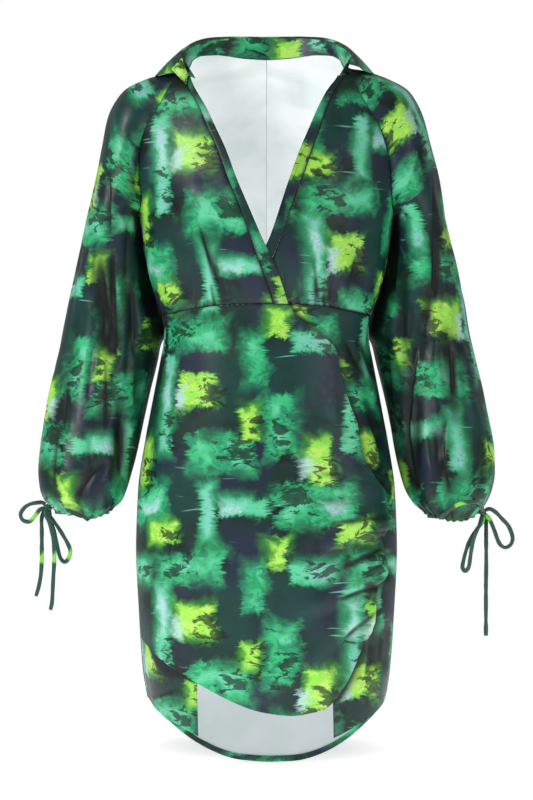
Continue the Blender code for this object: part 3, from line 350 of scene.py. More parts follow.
# Place and size of each light, in metres
KEY_LIGHT = (-2.4, -2.2, 1.5), (1.3, 1.3)
FILL_LIGHT = (2.4, -2.6, 0.4), (1.2, 1.8)
PAINTED_SHADE_COLOUR = (0.003, 0.006, 0.006, 1.0)   # what the print is mixed towards by its painted shade
# The floor's painted shadow is an ellipse of lower glow: its scale and shift on the floor, and where it
# fades
SHADOW_SCALE = (5.2, 2.9, 0.0)
SHADOW_SHIFT = (0.05, -1.305, 0.0)
SHADOW_FADE = (0.3, 1.35)
GATHERED_STRETCH = {"over": (0.30, 0.68), "under": (0.10, 0.72)}
STITCH_LINES = []

# Shift of the print on each piece, across and up
PRINT_SHIFTS = {
    "bodice_over": (0, 0), "bodice_under": (52, 128), "neck_band_over": (37, 95),
    "neck_band_under": (121, 14), "bodice_back_left": (0, 0), "bodice_back_right": (0, 0),
    "sleeve_left": (84, 30), "sleeve_right": (90, 12), "cuff_casing_left": (90, 140),
    "cuff_casing_right": (20, 66), "skirt_over": (0, 12), "skirt_under_left": (75, 60),
    "skirt_under_right": (30, 90), "skirt_back": (18, 40), "hem_turning_back": (0, 0),
    "collar_stand": (40, 75), "collar_fall": (10, 160), "collar_flap": (276, 188),
}
# Blocks of the print in one repeat: middle across and up, half width, half height
DEEP_BLOCKS = ((132, 66, 40, 28), (30, 216, 36, 34), (208, 200, 26, 38), (72, 152, 26, 20))
LEAF_BLOCKS = (
    (64, 50, 54, 27), (190, 116, 42, 24), (18, 152, 20, 38), (150, 262, 46, 17), (236, 234, 13, 32),
)
MINT_BLOCKS = ((112, 178, 11, 62), (222, 50, 30, 11), (60, 256, 28, 13), (176, 38, 9, 38))
LIME_BLOCKS = (
    (158, 194, 26, 22), (66, 104, 17, 30), (228, 152, 11, 18), (112, 16, 23, 12), (14, 280, 11, 16),
)
PALE_BLOCKS = ((134, 184, 9, 16), (50, 92, 8, 14), (112, 196, 7, 26), (206, 46, 16, 6), (84, 44, 18, 8))
INK_BLOCKS = (
    (178, 186, 14, 18), (80, 88, 12, 18), (34, 60, 22, 15), (214, 120, 20, 12), (122, 142, 8, 22),
    (136, 262, 18, 9), (240, 158, 8, 14), (66, 254, 14, 7), (128, 10, 14, 8), (22, 136, 12, 18),
)

BODICE_BACK_TROUGHS = ((120, -120, 60, -250, 1.6, 10), (40, -40, 30, -180, 1.0, 12))
# Crisp long creases on the front of each sleeve, pressed in and darkened with painted shade: which way
# its painted shadow falls (1 is outwards), strength, width of the shadow, and the height and x outwards
# of its points
SLEEVE_CREASES = {
    "left": (
        (1, 0.75, 7, ((-109, 199), (-160, 198.5), (-205, 197))),
        (1, 1, 13, ((-211, 193), (-282, 192), (-366, 189))),
        (0, 0.6, 4, ((-255, 172), (-310, 170), (-365, 167))),
        (0, 0.55, 3, ((-173, 176), (-220, 178), (-269, 179))),
        (-1, 0.5, 5, ((-345, 205), (-400, 205.5), (-461, 205))),
        (1, 0.85, 10, ((-429, 186), (-470, 184), (-515, 187))),
        (-1, 0.55, 7, ((-484, 205), (-512, 228), (-541, 251))),
        (0, 0.55, 3.5, ((-442, 264), (-490, 269), (-532, 268))),
        (-1, 0.6, 8, ((-365, 166), (-400, 168), (-433, 168))),
    ),
    "right": (
        (1, 0.6, 11, ((-118, 210), (-200, 212), (-288, 212))),
        (-1, 0.75, 7, ((-173, 167), (-225, 166), (-282, 161))),
        (0, 0.55, 5, ((-278, 183), (-310, 184), (-345, 181))),
        (-1, 0.8, 14, ((-330, 194), (-403, 185), (-442, 181), (-476, 183), (-541, 201))),
        (1, 0.55, 8, ((-333, 233.5), (-370, 235), (-412, 235.5))),
        (-1, 0.6, 9, ((-425, 230), (-476, 224), (-527, 234))),
        (0, 0.45, 4, ((-448, 273), (-490, 274), (-538, 268))),
        (-1, 0.5, 8, ((-320, 153), (-380, 158), (-448, 167))),
    ),
}
# Painted shadow below the overlapping hem on the left under front: x, how far down it falls
HEM_SHADOW = ((-160, 6), (-148, 14), (-138, 27), (-125, 20), (-112, 11), (-95, 4), (-85, 2.5))
UNDER_LEFT_TUCK = ((-151, -789, -112, -774, 1.6, 2.6),)
# Thin creases of the bodice fronts, pressed in and darkened with painted shade: x and height of each
# end, darkness, half width
BODICE_CREASES = {
    "over": (
        (-88, -180, -56, -284, 0.9, 1.7), (-70, -262, -66, -288, 0.6, 1.6),
        (-60, -250, -47, -288, 0.5, 1.6), (-96, -104, -40, -92, 0.3, 4),
        (-60, -150, -22, -168, 0.35, 4), (-70, -126, -30, -128, 0.3, 5),
    ),
    "under": (
        (26, -240, 20, -288, 0.7, 1.6), (44, -246, 46, -288, 0.6, 1.6),
        (58, -222, 66, -288, 0.5, 2), (86, -240, 80, -288, 0.5, 1.8),
        (118, -216, 98, -286, 0.4, 2.6), (108, -90, 84, -140, 0.3, 4),
    ),
}
# The same in the skirt: its free edge's side and the gathers under the waist seam
SKIRT_CREASES = (
    (152, -556, 70, -566, 0.8, 3), (154, -592, 84, -624, 1, 3.6), (148, -640, 80, -664, 0.9, 3.4),
    (140, -670, 90, -716, 0.7, 3), (152, -575, 112, -578, 0.6, 2), (150, -612, 116, -628, 0.6, 2),
    (134, -516, 60, -500, 0.5, 3), (112, -452, 40, -424, 0.35, 4),
)


def smooth(keys, values, at):
    """Cubic curve through the values that never overshoots between two of them."""
    keys = np.asarray(keys, float)
    values = np.asarray(values, float)
    at = np.clip(np.asarray(at, float), keys[0], keys[-1])
    step = np.diff(keys)
    slope = np.diff(values) / step
    same_way = slope[:-1] * slope[1:] > 0
    total = np.where(same_way, slope[:-1] + slope[1:], 1.0)
    inner = np.where(same_way, 2.0 * slope[:-1] * slope[1:] / total, 0.0)
    tangent = np.concatenate([[slope[0]], inner, [slope[-1]]])
    i = np.clip(np.searchsorted(keys, at, side="right") - 1, 0, len(keys) - 2)
    t = (at - keys[i]) / step[i]
    start = (1 + 2 * t) * (1 - t) ** 2 * values[i] + t * (1 - t) ** 2 * step[i] * tangent[i]
    end = t * t * (3 - 2 * t) * values[i + 1] - t * t * (1 - t) * step[i] * tangent[i + 1]
    return start + end


def table_column(table, column, at):
    """Smooth value of one column of a table whose first column is the key."""
    rows = sorted(table)
    return smooth([row[0] for row in rows], [row[column] for row in rows], at)


def path_lengths(points):
    """Length run from the first row to each row of a path, or of every column of a grid."""
    step = np.linalg.norm(np.diff(points, axis=0), axis=-1)
    return np.concatenate([np.zeros((1, *step.shape[1:])), np.cumsum(step, axis=0)])


def along(points, at):
    """Points at fractions 0..1 of the length of a smooth path through the given points."""
    points = np.asarray(points, float)
    place = path_lengths(points)
    return np.stack([smooth(place / place[-1], column, at) for column in points.T], axis=-1)


def points_of(*parts):
    """Points from their parts, which are spread over one shape."""
    return np.stack(np.broadcast_arrays(*parts), axis=-1)


def unit(vectors):
    """The same vectors at length 1."""
    return vectors / (np.linalg.norm(vectors, axis=-1, keepdims=True) + 1e-12)


def ease(value):
    """Soft step from 0 to 1."""
    value = np.clip(value, 0.0, 1.0)
    return value * value * (3.0 - 2.0 * value)


def fade_ends(place, share):
    """1 inside 0..1, easing to 0 over the given share of it at each end."""
    return ease(place / share) * ease((1 - place) / share)


def bell(distance, half_width):
    """Soft bump of height 1 round distance 0."""
    return np.exp(-(distance / half_width) ** 2)


def side_word(side):
    """Name of the side that -1 or 1 stands for."""
    return "left" if side < 0 else "right"


def side_seam(side, back=False):
    """Body angle of a front piece's or a back piece's side seam."""
    return side * (math.pi / 2 + (SIDE_SEAM_ANGLE if back else -SIDE_SEAM_ANGLE))


def body_sizes(z):
    """Half width, front depth and back depth of the body form at a height."""
    return [table_column(BODY, column, z) for column in (1, 2, 3)]


def body_angle(x, z, back=False):
    """Angle round the body of a point seen at x: 0 at centre front, 90 degrees at +X."""
    half = body_sizes(z)[0]
    sine = np.clip(np.abs(x) / half, 0.0, 1.0) ** (ROUNDNESS / 2)
    angle = np.arcsin(sine)
    if back:
        angle = math.pi - angle
    return np.sign(x) * angle


def signed_power(value, power):
    """Power of a value's size, with the value's sign."""
    return np.sign(value) * np.abs(value) ** power


def body_point(angle, z, out):
    """Point of the body form at an angle and a height, moved out level and square to it."""
    half, front, back = body_sizes(z)
    cosine = np.cos(angle)
    depth = np.where(cosine > 0, front, back)
    x = half * signed_power(np.sin(angle), 2 / ROUNDNESS)
    y = -depth * signed_power(cosine, 2 / ROUNDNESS)
    way_x = signed_power(x / half, ROUNDNESS - 1) / half
    way_y = signed_power(y / depth, ROUNDNESS - 1) / depth
    way = unit(points_of(way_x, way_y, 0.0))
    return points_of(x, y, z) + way * np.asarray(out)[..., None]


def seen_x(angle, z):
    """The x of a point of the body form, for folds that are placed as seen from the front."""
    return body_sizes(z)[0] * signed_power(np.sin(angle), 2 / ROUNDNESS)


def troughs(x, z, rows):
    """Depth of soft troughs along slanting lines, with a low ridge beside each."""
    depth = 0.0 * x
    for x_start, z_start, x_end, z_end, deep, half_width in rows:
        line_x = x_end - x_start
        line_z = z_end - z_start
        length = math.hypot(line_x, line_z)
        t = ((x - x_start) * line_x + (z - z_start) * line_z) / length ** 2
        across = ((x - x_start) * line_z - (z - z_start) * line_x) / length
        fade = fade_ends(t, 0.3)
        shape = bell(across, half_width) - 0.3 * bell(across - 1.9 * half_width, 0.9 * half_width)
        depth = depth + deep * fade * shape
    return depth


def ripple(across, up, seed, size, stretch=1.0, count=7):
    """Uneven small waves, about -1..1, made of sine waves whose directions are drawn once."""
    draw = np.random.default_rng(seed)
    total = 0.0 * across
    for _ in range(count):
        turn, phase = draw.uniform(0, 2 * math.pi, 2)
        wave = size * draw.uniform(0.7, 1.7)
        place = across * math.cos(turn) + up / stretch * math.sin(turn)
        total = total + np.sin(2 * math.pi * place / wave + phase)
    return total / math.sqrt(count)


def soft_creases(across, up, seed, height, size=34.0, stretch=2.2):
    """Shallow creases that come and go, as in a light cloth that hangs freely."""
    strength = 0.5 + 0.5 * ripple(across, up, seed + 50, 3.4 * size, 1.0)
    folds = ripple(across, up, seed, size, stretch)
    return height * np.clip(strength, 0, 1) * signed_power(folds, 1.4)


def edges(count, *ends):
    """Places 0..1 with extra close ones at the given ends, where a seam rolls in."""
    extra = [abs(end - step) for end in ends for step in ROLL_STEPS]
    return np.array(sorted([*np.linspace(0, 1, count), *extra]))


def roll_in(distance, depth=1.3, reach=1.6):
    """How far cloth turns inwards at a seam, for a distance in millimetres from it."""
    return -depth * np.exp(-np.maximum(distance, 0.0) / reach)


def seam_shade(distance, strength=0.95, reach=1.3):
    """Painted shade in the crease at a seam, for a distance in millimetres from it."""
    return strength * np.exp(-np.maximum(distance, 0.0) / reach)


def fold_shade(depth, deepest, strength=0.5):
    """Painted shade at the bottom of a fold that is this deep below the cloth round it."""
    return strength * ease(depth / deepest)


def puckers(place, distance, pitch, reach, height, seed):
    """Small puckers at a seam: place runs along it and distance away from it."""
    uneven = place + 0.35 * pitch * ripple(place, 0.0 * place, seed, 5 * pitch)
    strength = 0.65 + 0.35 * ripple(place, 0.0 * place, seed + 9, 9 * pitch)
    return height * strength * np.cos(2 * math.pi * uneven / pitch) * np.exp(-distance / reach)


def waist_height(angle):
    """Height of the waist seam, a little higher at centre front and centre back."""
    cosine = np.cos(angle)
    rise = np.where(cosine > 0, WAIST_FRONT_RISE, WAIST_BACK_RISE)
    return WAIST_SIDE + rise * cosine ** 2


def overlap_lift(angle):
    """How far the overlapping front stands off the form: nothing at its side seam."""
    return OVERLAP_LIFT * ease((angle + math.radians(48)) / math.radians(26))


def flat_layer(angle):
    """How far the front below stands off the form, which is nowhere."""
    return 0.0 * angle


def patch(left, right, bottom, top, v, u):
    """Grid of flat points spread between four border curves, each a function of 0..1."""
    low, high = bottom(u)[None], top(u)[None]
    near, far = left(v)[:, None], right(v)[:, None]
    u = u[None, :, None]
    v = v[:, None, None]
    corners = (1 - u) * (1 - v) * low[:, :1] + u * (1 - v) * low[:, -1:]
    corners = corners + (1 - u) * v * high[:, :1] + u * v * high[:, -1:]
    return (1 - v) * low + v * high + (1 - u) * near + u * far - corners


def border(points, back=False):
    """Border curve in body angle and height through points given as x and height."""
    flat = np.asarray(points, float)
    angles = body_angle(flat[:, 0], flat[:, 1], back)
    shaped = points_of(angles, flat[:, 1]) * BORDER_SCALE

    def curve(at):
        return along(shaped, at) / BORDER_SCALE

    return curve


def end_point(curve, at):
    """Point of a border curve at its start, 0, or at its end, 1."""
    return curve(np.array([float(at)]))[0]


def backwards(curve):
    """The same border curve from its end to its start."""
    return lambda at: curve(1 - np.asarray(at))


def from_waist(points, shift):
    """Edge points whose first one, at the waist seam, is set to the seam's height."""
    flat = np.array(points, float)
    flat[0, 1] = waist_height(body_angle(flat[0, 0], flat[0, 1])) + shift
    return flat


def straight(start, end):
    """Straight border curve between two points in body angle and height."""
    start = np.asarray(start, float)
    end = np.asarray(end, float)

    def curve(at):
        return start + (end - start) * np.asarray(at)[:, None]

    return curve


def waist_border(start_angle, end_angle, shift):
    """Border curve along the waist seam."""

    def curve(at):
        angle = start_angle + (end_angle - start_angle) * np.asarray(at)
        return points_of(angle, waist_height(angle) + shift)

    return curve


def joined(first, second, share):
    """Two border curves end to end; the first takes the given share of 0..1."""

    def curve(at):
        at = np.asarray(at)[:, None]
        start = first(np.clip(at[:, 0] / share, 0, 1))
        rest = second(np.clip((at[:, 0] - share) / (1 - share), 0, 1))
        return np.where(at <= share, start, rest)

    return curve


def softened(curve, reach):
    """The same border curve with its bends rounded off; its ends stay where they are."""

    def rounded(at):
        at = np.asarray(at, float)
        near = np.minimum(np.minimum(at, 1 - at), reach)
        return sum(curve(at + near * step) for step in (-1.0, -0.5, 0.0, 0.5, 1.0)) / 5

    return rounded


def shifted(points, across):
    """Edge points moved across, each by its own width."""
    return points + points_of(across, 0.0)


def raglan_border(side, back, inset, crease=0.0):
    """Raglan seam in body angle and height from the neck down, moved off the seam."""
    rows = RAGLAN_BACK if back else (RAGLAN_LEFT if side < 0 else RAGLAN_RIGHT)
    curve = border(np.array(rows, float) * (side, 1.0), back)

    def moved(at):
        at = np.asarray(at, float)
        before, after = (curve(np.clip(at + step, 0, 1)) for step in (-0.002, 0.002))
        way = unit((after - before) * BORDER_SCALE)
        square = points_of(way[:, 1], -way[:, 0]) * (side if back else -side)
        off = inset + crease * ease(1 - at / 0.4)
        return curve(at) + square * off[:, None] / BORDER_SCALE

    return moved


def outer_border(side, back):
    """Outer border of a bodice piece from the waist up: its side seam, then its raglan seam."""
    raglan = raglan_border(side, back, -SEAM_GAP / 2)
    side_angle = side_seam(side, back)
    waist = (side_angle, WAIST_SIDE + SEAM_GAP / 2)
    underarm = (side_angle, end_point(raglan, 1)[1] - 0.2)
    return joined(straight(waist, underarm), backwards(raglan), SIDE_SHARE)


def crowded(count, first, last, share):
    """Places 0..1 with the given share of their steps between first and last."""
    before = (1 - share) * first / (first + 1 - last)
    return np.interp(
        np.linspace(0, 1, count), [0.0, before, before + share, 1.0], [0.0, first, last, 1.0]
    )


def round_the_body(angle, z):
    """Distance round the body form from centre front, the print's sideways place."""
    angles = np.linspace(-1.5 * math.pi, 1.5 * math.pi, 721)
    levels = np.linspace(-900, 50, 96)
    table = []
    for level in levels:
        points = body_point(angles, level, 0.0 * angles)
        length = path_lengths(points)
        table.append(length - length[len(length) // 2])
    table = np.array(table)
    column = (angle - angles[0]) / (angles[1] - angles[0])
    row = np.clip((z - levels[0]) / (levels[1] - levels[0]), 0, len(levels) - 1.001)
    i, j = row.astype(int), column.astype(int)
    s, t = row - i, column - j
    low = table[i, j] * (1 - t) + table[i, j + 1] * t
    high = table[i + 1, j] * (1 - t) + table[i + 1, j + 1] * t
    return low * (1 - s) + high * s


def outward_normals(grid, inside):
    """Unit normals of a grid of points, turned away from the point inside."""
    normal = unit(np.cross(np.gradient(grid, axis=1), np.gradient(grid, axis=0)))
    return normal if ((grid - inside) * normal).sum() > 0 else -normal


def keep_line(grid, inside, row=None, column=None):
    """Keeps the line of a grid at a fractional row or column, to be stitched later."""
    normal = outward_normals(grid, inside)
    if row is None:
        grid, normal, row = grid.swapaxes(0, 1), normal.swapaxes(0, 1), column
    place = row * (len(grid) - 1)
    low = min(int(place), len(grid) - 2)
    t = place - low
    STITCH_LINES.append([rows[low] * (1 - t) + rows[low + 1] * t for rows in (grid, normal)])


def in_scene(name, data):
    """New object that holds the data, in the scene's own collection."""
    made = bpy.data.objects.new(name, data)
    bpy.context.scene.collection.objects.link(made)
    return made


def cloth(name, grid, place, inside, shade=0.0, wall=None, one_face=False):
    """Closed cloth piece from a grid of outer points, with its wall on the inside.

    Columns that come back to the same point are welded, which closes a tube. place is
    each point's place on the flat cloth, in millimetres, to which the piece's own shift of
    the print is added, and shade is its painted shade, from 0 to 1, for folds, creases,
    seams and shadows. A piece with one_face is folded, so its inside is printed too.
    """
    rows, columns = grid.shape[:2]
    index = np.arange(rows * columns).reshape(rows, columns)
    corners = (index[:-1, :-1], index[:-1, 1:], index[1:, 1:], index[1:, :-1])
    quads = np.stack(corners, axis=-1).reshape(-1, 4)
    normal = np.cross(np.diff(grid, axis=1)[:-1], np.diff(grid, axis=0)[:, :-1])
    if (normal * (grid[:-1, :-1] - np.asarray(inside, float))).sum() < 0:
        quads = quads[:, ::-1]
    mesh = bpy.data.meshes.new(name + "_cloth")
    mesh.from_pydata((grid.reshape(-1, 3) * MM).tolist(), [], quads.tolist())
    layer = mesh.uv_layers.new(name="Print")
    corner = np.empty(len(mesh.loops), np.int32)
    mesh.loops.foreach_get("vertex_index", corner)
    place = (place + np.array(PRINT_SHIFTS[name])).reshape(-1, 2)
    layer.data.foreach_set("uv", (place[corner] * MM).ravel())
    # Painted shade, kept on each point for the printed material.
    kept = mesh.attributes.new("Shade", "FLOAT", "POINT")
    kept.data.foreach_set("value", np.clip(shade + np.zeros((rows, columns)), 0, 1).ravel())
    form = bmesh.new()
    form.from_mesh(mesh)
    bmesh.ops.remove_doubles(form, verts=form.verts, dist=WELD * MM)
    form.to_mesh(mesh)
    form.free()
    made = in_scene(name + "_cloth", mesh)
    mesh.materials.append(material("Printed crepe", printed_cloth))
    mesh.materials.append(material("Cloth reverse", cloth_reverse))
    shell = made.modifiers.new("Wall", "SOLIDIFY")
    shell.thickness = bpy.context.scene.wrap_dress_cloth.wall if wall is None else wall * MM
    shell.offset = -1.0
    shell.material_offset = 0 if one_face else 1
    plain(made)
    made.data.shade_smooth()
    made.data.set_sharp_from_angle(angle=math.radians(50))
    return made


def plain(piece):
    """Turns what the modifiers make into the piece's own mesh."""
    graph = bpy.context.evaluated_depsgraph_get()
    finished = bpy.data.meshes.new_from_object(piece.evaluated_get(graph))
    piece.modifiers.clear()
    old = piece.data
    piece.data = finished
    if isinstance(old, bpy.types.Mesh):
        bpy.data.meshes.remove(old)


def stands_for(piece, node):
    """Ties a finished piece to the body, and hides the CAD node that it shows."""
    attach(piece, "root")
    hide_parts(node)


def declare(piece, node):
    """Ties a finished cloth piece to the body and hides the CAD node that it stands for."""
    stands_for(piece, node)


def body_cloth(name, flat, out, shade, held, **extra):
    """Declared cloth piece on the body form, from a grid of angle and height.

    Gives its outer points and a point inside it, for the stitching.
    """
    angle, z = flat[..., 0], flat[..., 1]
    grid = body_point(angle, z, out)
    place = points_of(round_the_body(angle, z), z)
    inside = np.array([0.0, 0.0, z.mean()])
    declare(cloth(name, grid, place, inside, shade, **extra), name)
    return grid, inside


def gathers_height(x, above_waist, sizes):
    """Height of the gathers that run up from the waist seam into a bodice front."""
    first, last, count, run, height = sizes
    across = (x - first) / (last - first)
    uneven = across + 0.018 * np.sin(across * 17.0) + 0.02 * np.sin(across * 7.0 + 1.0)
    up = above_waist / run
    long_one = 0.75 + 0.25 * np.sin(across * 23.0 + 2.0)
    coarse = (np.cos(2 * math.pi * count * uneven) - 1) / 2 * ease(1 - up / long_one)
    fine = 0.35 * np.cos(2 * math.pi * count * 2.6 * uneven + 1.0) * ease(1 - up / 0.35)
    return height * fade_ends(across, 0.12) * (coarse + fine)


def with_allowances(flat, out, shade):
    """Adds the turned-in allowances along a bodice piece's outer border and its waist, fully darkened
    with painted shade.
    """
    way = unit((flat[:, -1] - flat[:, -4]) * BORDER_SCALE)
    v = np.linspace(0, 1, len(flat))[:, None]
    stands = ease((v - SIDE_SHARE - 0.01) / 0.03) * ease((0.85 - v) / 0.15)
    for (past, deeper), (far, lower) in zip(ALLOWANCE, RAGLAN_ALLOWANCE):
        on = past + (far - past) * stands
        column = flat[:, -1] + way * on / BORDER_SCALE
        flat = np.concatenate([flat, column[:, None]], axis=1)
        out = np.concatenate([out, out[:, -1:] - deeper - (lower - deeper) * stands], axis=1)
    for past, deeper in ALLOWANCE:
        row = flat[:1] - np.array([0.0, past])
        flat = np.concatenate([row, flat])
        out = np.concatenate([out[:1] - 0.3 * deeper, out])
    added = len(ALLOWANCE)
    # The allowances get full painted shade, as the dark between the pieces.
    return flat, out, np.pad(shade, ((added, 0), (0, added)), constant_values=1.0)


def bodice_front(side, edge, band_column, lift, gathers, trough_rows):
    """One bodice front and the band along its slanting neck edge."""
    edge = np.asarray(edge, float)[::-1]
    band = table_column(NECK_BAND, band_column, edge[:, 1]) * side
    low = SEAM_GAP / 2
    inner = border(from_waist(shifted(edge, band + side * low), low))
    outer = outer_border(side, False)
    u = edges(112, 0.0, 1.0)
    u = np.interp(u, np.linspace(0, 1, 400), crowded(400, *GATHERED_STRETCH[gathers], 0.62))
    flat = patch(
        inner,
        outer,
        waist_border(end_point(inner, 0)[0], side_seam(side), low),
        straight(end_point(inner, 1), end_point(outer, 1)),
        edges(118, 0.0),
        u,
    )
    angle, z = flat[..., 0], flat[..., 1]
    x = seen_x(angle, z)
    u = u[None, :]
    above_waist = z - waist_height(angle)
    crease = np.maximum(troughs(x, z, BODICE_CREASES[gathers]), 0)
    fold = gathers_height(x, above_waist, BODICE_GATHERS[gathers])
    fold = fold - troughs(x, z, trough_rows) - 1.4 * crease
    fold = fold + soft_creases(x, z, 11 if side < 0 else 12, 1.1)
    fold = fold * fade_ends(u, 0.1)
    # Painted shade in the folds and thin creases; below, painted shade at the seams and a painted
    # shadow under the collar's leaf.
    shade = fold_shade(-fold, 4.5, 0.6) + 0.8 * crease
    across = round_the_body(angle, z)
    fold = fold + puckers(across, above_waist, 7.0, 6.0, 0.4, 3) * ease(u / 0.05)
    from_edge, from_side = u * FRONT_WIDTH, (1 - u) * FRONT_WIDTH
    fold = fold + roll_in(above_waist) + roll_in(from_edge) + roll_in(from_side, 0.4)
    shade = shade + seam_shade(above_waist) + seam_shade(from_edge)
    shadow_end, shadow_reach = COLLAR_SHADOW
    shade = shade + seam_shade(from_side, 0.5, 0.7) + 0.85 * ease((z - shadow_end) / shadow_reach)
    flat, out, shade = with_allowances(flat, lift(angle) + fold, shade)
    body_cloth("bodice_" + gathers, flat, out, shade, "stretched")
    neck_band("neck_band_" + gathers, edge, band, side, lift)


def neck_band(name, edge, band, side, lift):
    """Narrow band along the slanting neck edge of a bodice front."""
    low = SEAM_GAP / 2
    inner = border(from_waist(edge, low))
    outer = border(from_waist(shifted(edge, band - side * low), low))
    low_end, high_end = (straight(end_point(inner, at), end_point(outer, at)) for at in (0, 1))
    u = np.linspace(0, 1, 15)
    strip = patch(inner, outer, low_end, high_end, np.linspace(0, 1, 200), u)
    angle, z = strip[..., 0], strip[..., 1]
    u = u[None, :]
    out = lift(angle) + 0.35 * (1 - (2 * u - 1) ** 4) + 0.25 * ripple(z, 0.0 * z, 21, 26.0)
    across = u * BAND_WIDTH
    # Painted shade at the band's seams; the whole band is a little darker too.
    shade = 0.15 + seam_shade(BAND_WIDTH - across, 0.7) + seam_shade(across, 0.3, 0.6)
    grid, inside = body_cloth(name, strip, out, shade, "stretched")
    for column in (0.30, 0.84):
        keep_line(grid, inside, column=column)


def bodice_back(side):
    """Half of the back bodice, from the centre back seam to the side and raglan seams."""
    centre_angle = side * math.pi
    neck = np.array(NECK_BACK, float)[::-1] * (side, 1.0)
    neck[0, 0] = side * JUST_OFF_CENTRE
    u = edges(72, 0.0, 1.0)
    flat = patch(
        straight((centre_angle, WAIST_SIDE + WAIST_BACK_RISE), (centre_angle, neck[0, 1])),
        outer_border(side, True),
        waist_border(centre_angle, side_seam(side, True), SEAM_GAP / 2),
        border(neck, True),
        edges(110, 0.0),
        u,
    )
    angle, z = flat[..., 0], flat[..., 1]
    x = seen_x(angle, z)
    u = u[None, :]
    above_waist = z - waist_height(angle)
    across = round_the_body(angle, z)
    fold = soft_creases(x, z, 31 if side < 0 else 32, 1.3, 46.0)
    fold = (fold - troughs(np.abs(x), z, BODICE_BACK_TROUGHS)) * fade_ends(u, 0.1)
    # Painted shade in the troughs and creases, then at the waist seam and the centre and side seams.
    shade = fold_shade(-fold, 4.0, 0.4)
    fold = fold + puckers(across, above_waist, 7.0, 7.0, 0.4, 5) * ease(u / 0.05)
    from_sides = np.minimum(u, 1 - u) * BACK_WIDTH
    fold = fold + roll_in(above_waist) + roll_in(from_sides, 0.4)
    shade = shade + seam_shade(above_waist) + seam_shade(from_sides, 0.5, 0.7)
    flat, out, shade = with_allowances(flat, fold, shade)
    body_cloth("bodice_back_" + side_word(side), flat, out, shade, "stretched")


def billows(u, down, rows, spread):
    """Swell of the billows that run in from the ruched edge, wider by spread on the way."""
    swell = 0.0
    for place, far_place, reach, height, half_width in rows:
        inwards = np.clip((1 - u) / reach, 0, 1)
        centre = place + (far_place - place) * inwards
        width = half_width * (1 + spread * inwards)
        swell = swell + height * ease(1 - inwards) * bell(down - centre, width)
    return swell


def skirt_over():
    """Overlapping front skirt with its ruched side and petal-curved hem."""
    side_angle = side_seam(-1)
    low = -SEAM_GAP / 2
    free_edge = border(from_waist(SKIRT_FREE_EDGE, low))
    hem_left = softened(border(SKIRT_HEM_LEFT), HEM_ROUNDING["left"])
    hem_right = softened(border(SKIRT_HEM_RIGHT), HEM_ROUNDING["right"])
    free_steps, ruched_steps, hem_steps = SKIRT_STEPS
    total = sum(SKIRT_STEPS)
    lower = joined(border(SKIRT_RUCHED_EDGE), hem_right, ruched_steps / (ruched_steps + hem_steps))
    low_corner = np.array([side_angle, SKIRT_HEM_LEFT[0][1]])
    pull = low_corner - end_point(hem_left, 0)
    v = edges(8 * total + 1, 1.0)
    u = crowded(150, 0.62, 1.0, 0.5)
    flat = patch(
        straight(low_corner, (side_angle, WAIST_SIDE + low)),
        backwards(joined(free_edge, lower, free_steps / total)),
        lambda at: hem_left(at) + (1 - ease(at / 0.15))[:, None] * pull,
        waist_border(side_angle, end_point(free_edge, 0)[0], low),
        v,
        u,
    )
    angle, z = flat[..., 0], flat[..., 1]
    u = u[None, :]
    down = 1 - v[:, None]
    base = RUCHE_STAND * ease((u - 0.55) / 0.25) * ease(down / 0.25) * ease((1 - down) / 0.1)
    swell = base + billows(u, down, BILLOWS, 0.0) + billows(u, down, RUCHES, 1.2)
    x = seen_x(angle, z)
    crease = np.maximum(troughs(x, z, SKIRT_CREASES), 0)
    hollow = troughs(x, z, SKIRT_TROUGHS) * ease(np.minimum(u, down) / 0.08) + 2.0 * crease
    lift = overlap_lift(angle)
    deepest = np.where(angle < math.radians(-5), np.inf, lift + base - 1.5)
    fold = swell - np.minimum(hollow, deepest)
    fold = fold + soft_creases(x, z, 41, 0.7, 44.0) * ease(np.minimum(u, 1 - u) / 0.06)
    below_waist = waist_height(angle) - z
    # Painted shade in the folds, the billows' hollows, the creases and at the waist seam; the top row
    # is painted fully dark.
    shade = fold_shade(base - fold, 5.0, 0.6) + 0.9 * crease + seam_shade(below_waist, 0.6)
    shade[-1] = 1.0
    across = round_the_body(angle, z)
    fold = fold + puckers(across, below_waist, 8.0, 6.0, 0.35, 7) + roll_in(below_waist)
    grid, inside = body_cloth("skirt_over", flat, lift + fold, shade, "stretched")
    top = grid[int((1 - free_steps / total) * (len(grid) - 1)):]
    for inset in (0.012, 0.035):
        keep_line(top, inside, column=1 - inset)
    keep_line(grid, inside, row=0.022)


